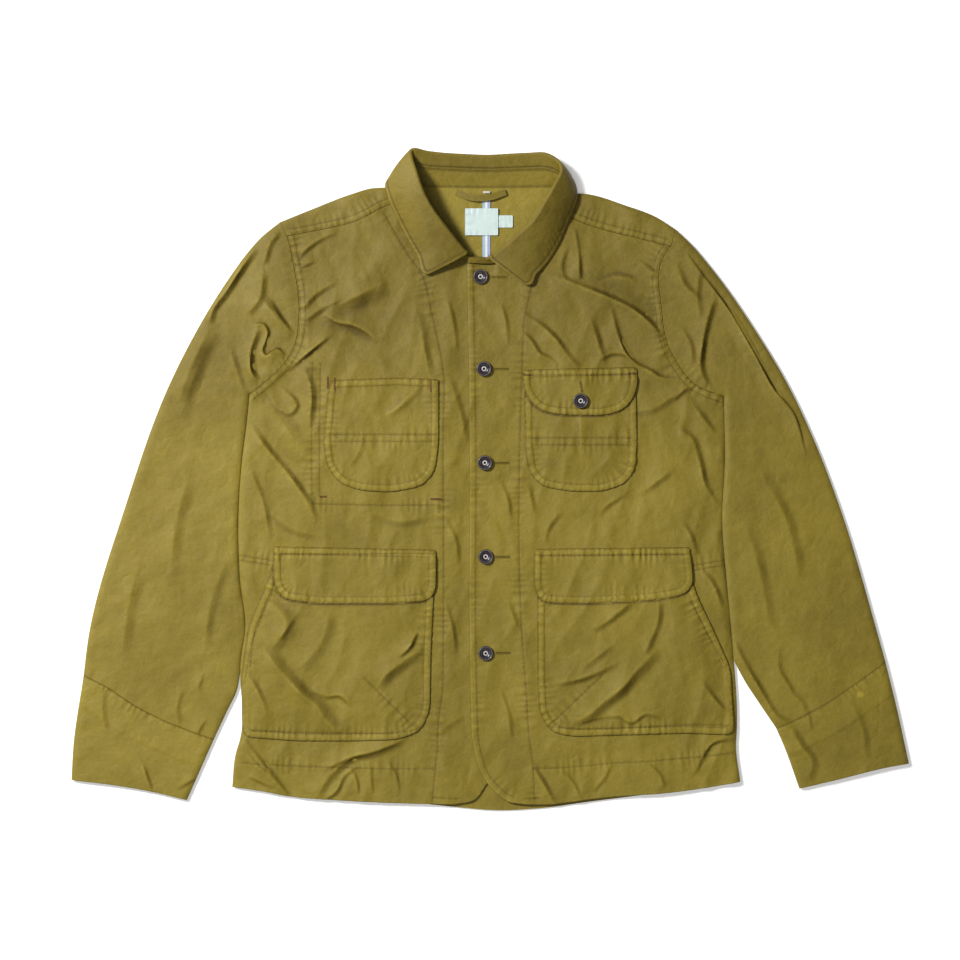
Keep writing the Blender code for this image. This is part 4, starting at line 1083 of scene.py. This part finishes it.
def rounded(points, lower=14, upper=2):
    """A closed outline through its corner points, evenly spaced and rounded off most low down."""
    loop = anticlockwise(np.array(points, float))
    loop = np.vstack([smooth(loop[[k - 1, k]])[:-1] for k in range(len(loop))])
    turns = np.where(loop[:, 1] > loop[:, 1].max() - 14.0, upper, lower)
    for k in range(lower):
        eased = 0.25 * np.roll(loop, 1, axis=0) + 0.5 * loop + 0.25 * np.roll(loop, -1, axis=0)
        loop = np.where((turns > k)[:, None], eased, loop)
    return loop


def ring(loop, distance):
    """A closed row of stitches at a distance inside an outline."""
    line = inset(loop, distance)
    line = line[np.abs(nearest(line, np.vstack((loop, loop[:1])), 20.0)[0]) > 0.93 * distance]
    return np.vstack((line, line[:1]))


def ends_at(row, hidden):
    """A closed row with the hidden stretch taken out."""
    out = hidden(row)
    if not out.any():
        return row
    turned_row = np.roll(row[:-1], -int(np.flatnonzero(out[:-1] & ~np.roll(out[:-1], -1))[0]) - 1,
                         axis=0)
    return turned_row[~hidden(turned_row)]


def at_side(points):
    """Where a hand pocket's edge runs up the side seam, with no rows of its own."""
    return ((np.abs(points[:, 0] - SIDE_MIDDLE) > SIDE_FROM)
            & (points[:, 1] < SIDE_HIGH) & (points[:, 1] > SIDE_LOW))


def patch(name, loop, below, lift, puff, rows, crease_rows, slack=None, step=FINE, beneath=None):
    """A piece sewn flat on another along its edge, and slightly full inside its stitches.

    Beneath is the closed outline of a flap whose shadow is painted on it, as a dark band just
    outside the flap's edge.
    """
    closed = np.vstack((loop, loop[:1]))

    def face(points):
        gap = np.abs(nearest(points, closed, 60.0)[0])
        groove, worn = sewn(points, rows)
        full = ramp(gap, 8.0, 34.0)
        edge = ramp(gap, 0.0, 0.8) * (1.0 - ramp(gap, 7.6, 9.4))
        form, shade = creases(points, crease_rows)
        rise = puff * full + form * ramp(gap, 4.0, 14.0) + 0.4 * edge
        if slack is not None:
            rise = rise + slack(points)
        ground, ground_shade = below(points)
        height = ground + lift + np.maximum(rise, 0.0) + groove
        rim = 1.0 - np.minimum(gap, 0.6) / 0.6
        height = height - 0.45 * (1.0 - np.sqrt(1.0 - rim ** 2))
        worn = worn + shade + ground_shade + 0.25 * edge
        # Painted shadow: a dark band just outside the flap's edge.
        if beneath is not None:
            off = np.abs(nearest(points, beneath, 8.0)[0])
            worn = worn - 1.3 * ~inside(points, beneath[:-1]) * np.exp(-((off - 0.5) / 1.3) ** 2)
        # Painted highlight just inside the edge and painted shadow line along the rim.
        return height, worn + 0.4 * np.exp(-((gap - 1.6) / 0.6) ** 2) - np.exp(-(gap / 0.8) ** 2)

    made = Shell()
    made.layer(loop, np.zeros(len(loop), bool), face, step, rows + crests(crease_rows))
    piece = made.make(name, cotton)
    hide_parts(name)
    thread = stitches("thread_" + name, rows, face)
    return piece, thread, face


def ground_right(points):
    """The right front under a pocket, which runs on below the left one."""
    return front_rest(points, True)


def ground_left(points):
    """The left front under a pocket."""
    return front_rest(points, False)


OVER = CLOTH + 0.15                # how far a patch stands over what it is sewn to
pocket_faces = {}
for name, corners, below, puff, more_rows, crease_rows, front, flap in (
        ("chest_pocket_right", CHEST_RIGHT, ground_right, 0.7, CHEST_ROWS_RIGHT,
         CREASES_CHEST_RIGHT, "front_right", None),
        ("lower_pocket_right", HAND_RIGHT, ground_right, 1.7, HAND_ROWS_RIGHT,
         CREASES_HAND_RIGHT, "front_right", FLAP_RIGHT),
        ("chest_pocket_left", CHEST_LEFT, ground_left, 0.7, CHEST_ROWS_LEFT,
         CREASES_CHEST_LEFT, "front_left", CHEST_FLAP),
        ("lower_pocket_left", HAND_LEFT, ground_left, 1.7, HAND_ROWS_LEFT,
         CREASES_HAND_LEFT, "front_left", FLAP_LEFT)):
    loop = rounded(corners)
    rows = [ends_at(ring(loop, depth), at_side) for depth in PATCH_ROW_DEPTHS]
    rows += [smooth(row) for row in more_rows]
    shading = None
    if flap:
        flap_loop = rounded(flap)
        shading = np.vstack((flap_loop, flap_loop[:1]))
    piece, thread, pocket_faces[name] = patch(name, loop, below, OVER, puff, rows, crease_rows,
                                              beneath=shading)
    laid(loop)

flap_faces = {}
for name, corners, below, front in (
        ("chest_flap", CHEST_FLAP, ground_left, "chest_pocket_left"),
        ("lower_flap_right", FLAP_RIGHT, ground_right, "lower_pocket_right"),
        ("lower_flap_left", FLAP_LEFT, ground_left, "lower_pocket_left")):
    loop = rounded(corners)
    top = loop[:, 1].max()
    fold_row = [(loop[:, 0].min() + 2, top - 9.0), (loop[:, 0].max() - 2, top - 8.0)]

    def hang(points, top=top):
        """Over the pocket's mouth the flap stands off by the pocket's own thickness."""
        below_seam = ramp(top - points[:, 1], 7.0, 14.0)
        pinch = np.exp(-((top - points[:, 1] - 10.5) / 1.1) ** 2)
        return below_seam * (OVER + 0.3) - 0.7 * pinch

    rows = [ring(loop, depth) for depth in PATCH_ROW_DEPTHS] + [smooth(fold_row)]
    piece, thread, flap_faces[name] = patch(name, loop, below, OVER, 0.3, rows, [], hang, 1.8)
    laid(loop)

# ---------------------------------------------------------------- collar
# A two-part shirt collar: a low stand round the neck and a pointed leaf that rolls over it. Both
# are two layers of the cloth; the leaf is top-stitched near its edge.
STATIONS = [   # neck seam, roll line and the leaf's free edge, from right front round to left front
    ((-8, 252.5, 3.4), (-8, 260, 4.5), (-8, 260, 4.5)),
    ((-21, 253.5, 4.2), (-18, 262, 7.5), (-18, 262, 7.5)),
    ((-31, 256, 5.2), (-25.5, 261.5, 14), (-71.5, 236.5, 11)),
    ((-56, 278, 5.6), (-47, 286, 24), (-84, 258, 9.6)),
    ((-74.6, 300, 5.6), (-63, 307, 29), (-97, 281, 9.2)),
    ((-86.5, 315.5, 5.2), (-74, 326, 31), (-108, 303, 9.2)),
    ((-95, 329, 4.4), (-83, 350, 28), (-117, 324, 9)),
    ((-85, 339, 2.8), (-90, 379, 18), (-119, 344, 6)),
    ((-70, 337, 2.0), (-70, 378, 13), (-93, 352, 1.4)),
    ((-46, 336.5, 2.0), (-46, 376, 11.5), (-55, 347, 0.6)),
    ((-3, 336, 2.0), (-3, 374, 11), (-3, 346, 0.6)),
    ((40, 336.5, 2.0), (40, 376, 11.5), (48, 347, 0.6)),
    ((66, 337, 2.4), (63, 376, 14), (84, 352, 1.4)),
    ((83, 336, 3.2), (77, 367, 19), (97, 343, 5)),
    ((82, 328, 4.6), (81, 355, 25), (100, 325, 9)),
    ((75.5, 319, 5.4), (73, 338, 28), (96, 311, 9.2)),
    ((69.5, 305, 5.6), (62, 319, 29), (89, 295, 9.2)),
    ((56.8, 284.5, 5.6), (50, 299, 27), (79, 272, 9.4)),
    ((41, 268.5, 5.6), (32, 282, 23), (66, 251, 9.4)),
    ((17, 254.5, 6.0), (13, 266, 17), (54, 238, 10.2)),
    ((2, 250.3, 6.6), (-2, 257.5, 14), (39, 225, 11.5)),
    ((-26, 250.3, 6.6), (-24.5, 262, 10.8), (-24.5, 262, 10.8)),
]
STAND_SHARE = 0.57
LEAF_FROM = 2
LEAF_TO = 20
ROLL_RADIUS = 2.6
LEAF_GAP = 0.4
LEAF_BULGE = 1.8
COLLAR_EDGE_ROW = 5.0
LEAF_FOOT_ROW = 2.6
STAND_FOOT_ROW = 1.8
STAND_TOP_ROW = 1.6


def station(place, seam):
    """A point on one of the collar's lines, between stations where place isn't whole."""
    line = np.array([row[seam] for row in STATIONS], float)
    slope = np.gradient(line, axis=0)
    k = min(int(place), len(line) - 2)
    t = place - k
    return (line[k] * (1 + 2 * t) * (1 - t) ** 2 + line[k + 1] * t * t * (3 - 2 * t)
            + slope[k] * t * (1 - t) ** 2 - slope[k + 1] * t * t * (1 - t))


def roll_turn(place):
    """The round of the leaf at its roll, from the face toward the neck to the fall."""
    neck, roll, edge = (station(place, seam) for seam in range(3))
    along = station(min(place + 0.1, LEAF_TO), 1) - station(max(place - 0.1, LEAF_FROM), 1)
    along /= np.linalg.norm(along)
    middle = ((neck - roll) / np.linalg.norm(neck - roll)
              + (edge - roll) / np.linalg.norm(edge - roll))
    middle -= middle.dot(along) * along
    middle /= np.linalg.norm(middle)
    aside = np.cross(middle, along)
    centre = roll + ROLL_RADIUS * middle
    return [centre + ROLL_RADIUS * (math.cos(a) * aside - math.sin(a) * middle)
            for a in np.radians((0, 30, 60, 90, 120, 150, 180))]


def stand_top(place):
    """A point on the stand's upper edge, below the roll."""
    neck = station(place, 0)
    has_leaf = LEAF_FROM <= place <= LEAF_TO
    top = roll_turn(place)[0] if has_leaf else station(place, 1)
    return neck + STAND_SHARE * (top - neck)


def leaf_section(place):
    """Across the leaf: up from the stand, over the roll and down to the free edge."""
    turn = roll_turn(place)
    top, edge = stand_top(place), station(place, 2)
    rise = turn[0] - top
    start = top + rise * LEAF_GAP / np.linalg.norm(rise)
    fall = edge - turn[-1]
    bow = turn[3] - 0.5 * (turn[0] + turn[-1]) + turn[-1] - turn[0]
    bow -= fall * bow.dot(fall) / fall.dot(fall)
    bow *= LEAF_BULGE / np.linalg.norm(bow)
    section = [start, 0.5 * (start + turn[0])] + turn
    for t in (0.12, 0.24, 0.36, 0.5, 0.64, 0.76, 0.88, 1.0):
        section.append(turn[-1] + fall * t + bow * 4 * t * (1 - t))
    return np.array(section)


def resample(points, count):
    """A polyline with a set number of evenly spaced points."""
    along = np.concatenate(([0.0], np.cumsum(np.linalg.norm(np.diff(points, axis=0), axis=1))))
    place = np.linspace(0.0, along[-1], count)
    return np.column_stack([np.interp(place, along, points[:, k]) for k in range(3)])


def grid_piece(name, grid, relief, worn):
    """Cloth over a grid of points, moved along its normal by relief, with inner face and rims."""
    normal = np.cross(np.gradient(grid, axis=0), np.gradient(grid, axis=1))
    normal /= np.linalg.norm(normal, axis=2)[:, :, None]
    outer = grid + normal * relief[:, :, None]
    inner = grid - normal * CLOTH
    count_u, count_v = grid.shape[:2]
    k = np.arange(count_u * count_v).reshape(count_u, count_v)
    a, b, c, d = k[:-1, :-1], k[1:, :-1], k[1:, 1:], k[:-1, 1:]
    faces = np.stack((a, b, c, d), axis=-1).reshape(-1, 4)
    total = count_u * count_v
    rim = np.concatenate((k[:, 0], k[-1, 1:], k[-2::-1, -1], k[0, -2::-1]))
    walls = np.stack((rim[1:], rim[:-1], rim[:-1] + total, rim[1:] + total), axis=-1)
    shell = Shell()
    shell.points = [outer.reshape(-1, 3), inner.reshape(-1, 3)]
    shell.worn = [worn.ravel(), np.zeros(total)]
    shell.faces = [tuple(face) for face in np.vstack((faces, faces[:, ::-1] + total, walls))]
    piece = shell.make(name, cotton)
    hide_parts(name)
    return piece


def spans(grid):
    """Distances over a grid's surface from each of its four sides, in mm."""
    across = np.linalg.norm(np.diff(grid, axis=1), axis=2)
    across = np.concatenate((np.zeros((len(grid), 1)), np.cumsum(across, axis=1)), axis=1)
    along = np.linalg.norm(np.diff(grid, axis=0), axis=2)
    along = np.concatenate((np.zeros((1, grid.shape[1])), np.cumsum(along, axis=0)), axis=0)
    return across, across[:, -1:] - across, along, along[-1:] - along


def row_relief(gap, along, number):
    """Relief and painted shade round a row of stitches at gap 0: darker in the groove, lighter on
    the ripples' crests and darker in their hollows.
    """
    groove = np.exp(-(gap / 0.8) ** 2)
    ripple = pucker(gap, along, number, 0.3)
    return ripple - 0.3 * groove, 0.6 * ripple - 0.9 * groove


leaf_grid = np.array([resample(leaf_section(k), 62)
                      for k in np.linspace(LEAF_FROM, LEAF_TO, 330)])
from_stand, from_edge, from_first, from_last = spans(leaf_grid)
to_edge = np.minimum(np.minimum(from_edge, from_first), from_last)
relief, painted_row_shade = row_relief(to_edge - COLLAR_EDGE_ROW, from_first + 0.4 * from_edge, 1)
base, base_worn = row_relief(from_stand - LEAF_FOOT_ROW, from_first, 2)
relief += base + 0.3 * (1.0 - ramp(to_edge, 4.8, 6.6))
relief += 0.35 * waves(leaf_grid[:, :, :2].reshape(-1, 2), 40, 60, 28, 61.0).reshape(relief.shape)
# Painted highlight just inside the leaf's edge and painted shadow line along the edge.
edge_worn = 0.45 * np.exp(-((to_edge - 1.6) / 0.8) ** 2) - 0.8 * np.exp(-(to_edge / 0.7) ** 2)
collar_leaf = grid_piece("collar_leaf", leaf_grid, relief, painted_row_shade + base_worn + edge_worn)

stand_grid = np.array([resample(np.array([station(k, 0), stand_top(k)]), 18)
                       for k in np.linspace(0, len(STATIONS) - 1, 400)])
from_neck, from_top, from_start, _ = spans(stand_grid)
relief, painted_row_shade = row_relief(from_neck - STAND_FOOT_ROW, from_start, 3)
upper, upper_worn = row_relief(from_top - STAND_TOP_ROW, from_start, 4)
# The stand's colour is lifted by painted light, since the collar shades the inside of the neck.
collar_stand = grid_piece("collar_stand", stand_grid, relief + upper, painted_row_shade + upper_worn + 0.35)

# ---------------------------------------------------------------- buttons
# Dark brown turned buttons with a raised rim and a hollow middle; a small pale ring round the
# middle and a pale arc on the rim are painted highlights. They are sewn to the right front and come
# up through the left one.
BUTTON_PROFILE = [(6.6, 0.0), (7.4, 0.1), (8.3, 0.9), (8.6, 1.8), (8.55, 2.7), (8.25, 3.3),
                  (7.8, 3.6), (7.3, 3.62), (6.9, 3.4), (6.6, 3.0), (6.35, 2.7), (6.0, 2.6),
                  (5.5, 2.75), (4.9, 2.8), (4.2, 2.5), (3.6, 2.1), (3.2, 2.0), (2.9, 2.2),
                  (2.7, 2.6), (2.4, 2.85), (2.0, 2.9), (1.6, 2.75), (1.35, 2.3), (1.2, 1.6),
                  (0.9, 1.2), (0.0, 1.1)]
BUTTON_SIDES = 56
FRONT_BUTTONS = [(-11, 234), (-7, 128), (-6, 20), (-5, -88), (-5, -199)]
FLAP_BUTTON = (104, 91)
BUTTON_LIFT = 0.3                  # its underside above the cloth


def button_finish():
    """Polished dark brown, scuffed in arcs, with painted highlights from the point attribute: a
    pale ring in the middle and a pale arc on the rim.
    """
    made = Finish("button brown", specular_ior_level=0.45, coat_weight=0.12)
    place = made.place()
    worn = made.node("ShaderNodeAttribute", {"attribute_name": "worn"}, out="Fac")
    scuff = made.cloudy(place, 420.0, 4.0, 0.7)
    marks = made.node("ShaderNodeValToRGB", None, {"Fac": scuff}, stops=[(0.5, 0.0), (0.72, 1.0)])
    pale = made.node("ShaderNodeClamp", None, {"Value": worn * (0.8 + scuff * 0.5) + marks * 0.06})
    made.set(base_color=made.mix(pale, (0.012, 0.005, 0.008, 1.0), (0.86, 0.80, 0.80, 1.0)),
             roughness=0.34 + pale * 0.25, normal=made.bump(scuff, 0.0001, 0.25))
    return made.made


button_brown = button_finish()


def button(name, place, base):
    """A turned button."""
    profile = np.array(BUTTON_PROFILE)
    turn = np.linspace(0.0, 2.0 * math.pi, BUTTON_SIDES, endpoint=False)
    points = [(place[0] + radius * math.cos(a), place[1] + radius * math.sin(a), base + height)
              for radius, height in profile[:-1] for a in turn]
    # Painted highlights: a pale ring round the hollow middle and a pale arc on the top of the rim,
    # lighter on one side.
    ring_highlight = np.exp(-((profile[:-1, 0] - 2.15) / 0.5) ** 2)
    rim_highlight = 0.16 * np.exp(-((profile[:-1, 0] - 7.5) / 0.4) ** 2) * (profile[:-1, 1] > 3.2)
    lit_side = 0.9 + 0.1 * np.cos(turn - 0.6)
    worn = ((ring_highlight + rim_highlight)[:, None] * lit_side).ravel()
    k = np.arange((len(profile) - 1) * BUTTON_SIDES).reshape(-1, BUTTON_SIDES)
    a, b = k[:-1], np.roll(k[:-1], -1, axis=1)
    c, d = np.roll(k[1:], -1, axis=1), k[1:]
    faces = [tuple(face) for face in np.stack((a, b, c, d), axis=-1).reshape(-1, 4)]
    points.append((place[0], place[1], base + profile[-1][1]))
    faces += [(k[-1][n], k[-1][(n + 1) % BUTTON_SIDES], len(points) - 1)
              for n in range(BUTTON_SIDES)]
    faces.append(tuple(k[0][::-1]))
    shell = Shell()
    shell.points, shell.faces = [np.array(points)], faces
    shell.worn = [np.append(worn, 0.0)]
    piece = shell.make(name, button_brown, weld=False)
    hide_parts(name)
    return piece


for number, place in enumerate(FRONT_BUTTONS, start=1):
    level = front_left_face(np.array([place], float))[0][0]
    button("front_button_%d" % number, place, level + BUTTON_LIFT)
flap_level = flap_faces["chest_flap"](np.array([FLAP_BUTTON], float))[0][0]
button("flap_button", FLAP_BUTTON, flap_level + BUTTON_LIFT)

# ---------------------------------------------------------------- bartacks and buttonholes
# Bartacks are dense bars of thread that hold the ends of pocket mouths and of the slanted entries,
# in red-brown on the chest. Each buttonhole is a cut slit with a row of close stitches either side.
TACKS_RIGHT = [[(-178.5, 118), (-178.5, 104)], [(-186.5, 119), (-186.5, 105)],
               [(-68, 115), (-68, 101)], [(-59, 115), (-59, 103)],
               [(-69, -21.5), (-55.5, -21.5)], [(-196, -19), (-188, -19)]]
TACKS_CHEST = [[(38, 121), (49, 121)], [(158.5, 123), (169, 123)]]
TACKS_HEM = [[(-66, -330), (-66, -334)], [(49, -330), (49, -334)]]
SLITS = [[(x, y), (x + 17.5, y)] for x, y in
         ((0.9, 233.8), (4.0, 128), (5.0, 19.9), (5.5, -88.2), (6.0, -198.6))]
SLIT_FLAP = [[(103.5, 113.5), (105.5, 101)]]
WHITE_TACK = [(-8.3, 331.5), (-0.2, 331.5)]
CLOSE = (0.8, 0.75)                # distance and length of close stitches
STAND_FOOT_LEVEL = 3.6
red_thread = thread_finish("red-brown thread", (0.10, 0.04, 0.012, 1.0), (0.19, 0.09, 0.03, 1.0))
# Painted shade: the slits are near-black beads standing for the shadow inside each cut.
shadow_thread = thread_finish("buttonhole shadow",
                              (0.03, 0.02, 0.006, 1.0), (0.07, 0.05, 0.015, 1.0))
dark_olive = thread_finish("dark olive thread",
                           (0.12, 0.085, 0.012, 1.0), (0.26, 0.195, 0.03, 1.0))


def right_tack_face(points):
    """Height of the right front with its chest pocket."""
    level, worn = front_right_face(points)
    pocket = pocket_faces["chest_pocket_right"](points)[0]
    return np.where(inside(points, rounded(CHEST_RIGHT)), pocket, level), worn


def holes(name, slits, face):
    """A dark slit with a row of close stitches on either side."""
    lines = [smooth(line, 0.8) for line in slits]
    stitches(name + "_slit", lines, face, shadow_thread, 0.9, 0.8, 0.6)
    stitches(name + "_edge", [beside(line, off) for line in lines for off in (-1.0, 1.0)], face,
             dark_olive, *CLOSE, 1.3)


stitches("bartacks_right", TACKS_RIGHT, right_tack_face, red_thread, *CLOSE, 2.4)
stitches("bartacks_flap", TACKS_CHEST, flap_faces["chest_flap"], red_thread, *CLOSE, 2.0)
stitches("bartacks_hem_right", TACKS_HEM[:1], front_right_face, dark_olive, *CLOSE, 1.6)
stitches("bartacks_hem_left", TACKS_HEM[1:], front_left_face, dark_olive, *CLOSE, 1.6)
white_thread = thread_finish("white thread", (0.55, 0.55, 0.52, 1.0), (0.8, 0.8, 0.77, 1.0))


def stand_face(points):
    """Height of the collar stand's foot behind the hang loop."""
    return np.full(len(points), STAND_FOOT_LEVEL), None


stitches("loop_tack", [WHITE_TACK], stand_face, white_thread, *CLOSE, 2.4)
holes("buttonholes", SLITS, front_left_face)
holes("buttonhole_flap", SLIT_FLAP, flap_faces["chest_flap"])

# ---------------------------------------------------------------- inside the neck
# A striped cotton tape covers the centre seam under the collar, with a bare woven label and a
# small bare size tab sewn over it, and a hang loop of the jacket's cloth.
TAPE = (-9, 257, 0, 323)
LABEL = (-29, 282, 9, 313)
SIZE_TAB = (5, 291, 26, 305)
LOOP_CENTRE = [(-39, 331.5), (-24, 325.5), (0, 325.5), (18, 331.5)]
LOOP_WIDTH = 7.0
INNER_BACK = 1.9                   # level of the back's inner face


def block(corners, r=0.8):
    """A rectangle with its corners cut off by r."""
    x0, y0, x1, y1 = corners
    corners = [(x0 + r, y0), (x1 - r, y0), (x1, y0 + r), (x1, y1 - r), (x1 - r, y1), (x0 + r, y1),
               (x0, y1 - r), (x0, y0 + r)]
    loop = np.array(corners, float)
    return np.vstack([smooth(loop[[k - 1, k]], 1.5)[:-1] for k in range(len(loop))])


def ribbon(name, corners, level, thick, finish):
    """A small flat woven piece that lies with a slight wave."""
    loop = anticlockwise(block(corners))
    row = ring(loop, 1.2)

    def face(points):
        groove, worn = sewn(points, [row], 0.5)
        return level + thick + 0.2 * waves(points, 30, 26, 14, 71.0) + groove, worn

    made = Shell(thick)
    made.layer(loop, np.zeros(len(loop), bool), face, 1.0, [row])
    piece = made.make(name, finish)
    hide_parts(name)
    (width, length), area = cut_size(loop)
    return piece


def label_finish():
    """Pale woven satin with fine crosswise ribs."""
    made = Finish("label satin", roughness=0.5, specular_ior_level=0.5)
    place = made.place()
    cloud = made.cloudy(place, 160.0, 3.0)
    ribs = made.node("ShaderNodeTexWave", {"bands_direction": "Y"},
                     {"Vector": place, "Scale": 520.0, "Distortion": 0.4})
    colour = made.mix(cloud, (0.50, 0.62, 0.59, 1.0), (0.64, 0.74, 0.71, 1.0))
    made.set(base_color=colour, normal=made.bump(ribs, 0.0001, 0.5))
    return made.made


def tape_finish():
    """Cotton tape woven in three lengthwise stripes: pale blue, white and a greyer blue."""
    made = Finish("tape cotton", roughness=0.85)
    place = made.place()
    spread = made.node("ShaderNodeSeparateXYZ", None, {"Vector": place}, "X")
    share = (spread + 0.009) * 111.0
    first = made.node("ShaderNodeMath", {"operation": "GREATER_THAN"}, {0: share, 1: 0.38})
    second = made.node("ShaderNodeMath", {"operation": "GREATER_THAN"}, {0: share, 1: 0.64})
    stripes = made.mix(first, (0.34, 0.47, 0.58, 1.0), (0.74, 0.76, 0.74, 1.0))
    stripes = made.mix(second, stripes, (0.36, 0.40, 0.56, 1.0))
    ribs = made.node("ShaderNodeTexWave", {"bands_direction": "Y"},
                     {"Vector": place, "Scale": 420.0, "Distortion": 0.5})
    made.set(base_color=stripes, normal=made.bump(ribs, 0.00015, 0.6))
    return made.made


satin = label_finish()
ribbon("seam_tape", TAPE, INNER_BACK, 0.7, tape_finish())
ribbon("size_tab", SIZE_TAB, INNER_BACK, 0.7, satin)
ribbon("neck_label", LABEL, INNER_BACK + 1.0, 0.8, satin)

loop_line = smooth(LOOP_CENTRE, 1.5)
loop_rise = INNER_BACK + 1.0 + 1.6 * np.sin(np.linspace(0.0, math.pi, len(loop_line)))
loop_grid = np.array([[(*place, height) for place in across] for across, height in
                      zip(np.stack([beside(loop_line, s * LOOP_WIDTH)
                                    for s in np.linspace(-0.5, 0.5, 9)], axis=1), loop_rise)])
loop_relief = 0.3 * np.cos(np.linspace(-1.2, 1.2, 9))[None, :] * np.ones((len(loop_line), 1))
hang_loop = grid_piece("hang_loop", loop_grid[:, ::-1], loop_relief, loop_relief * 0.0)
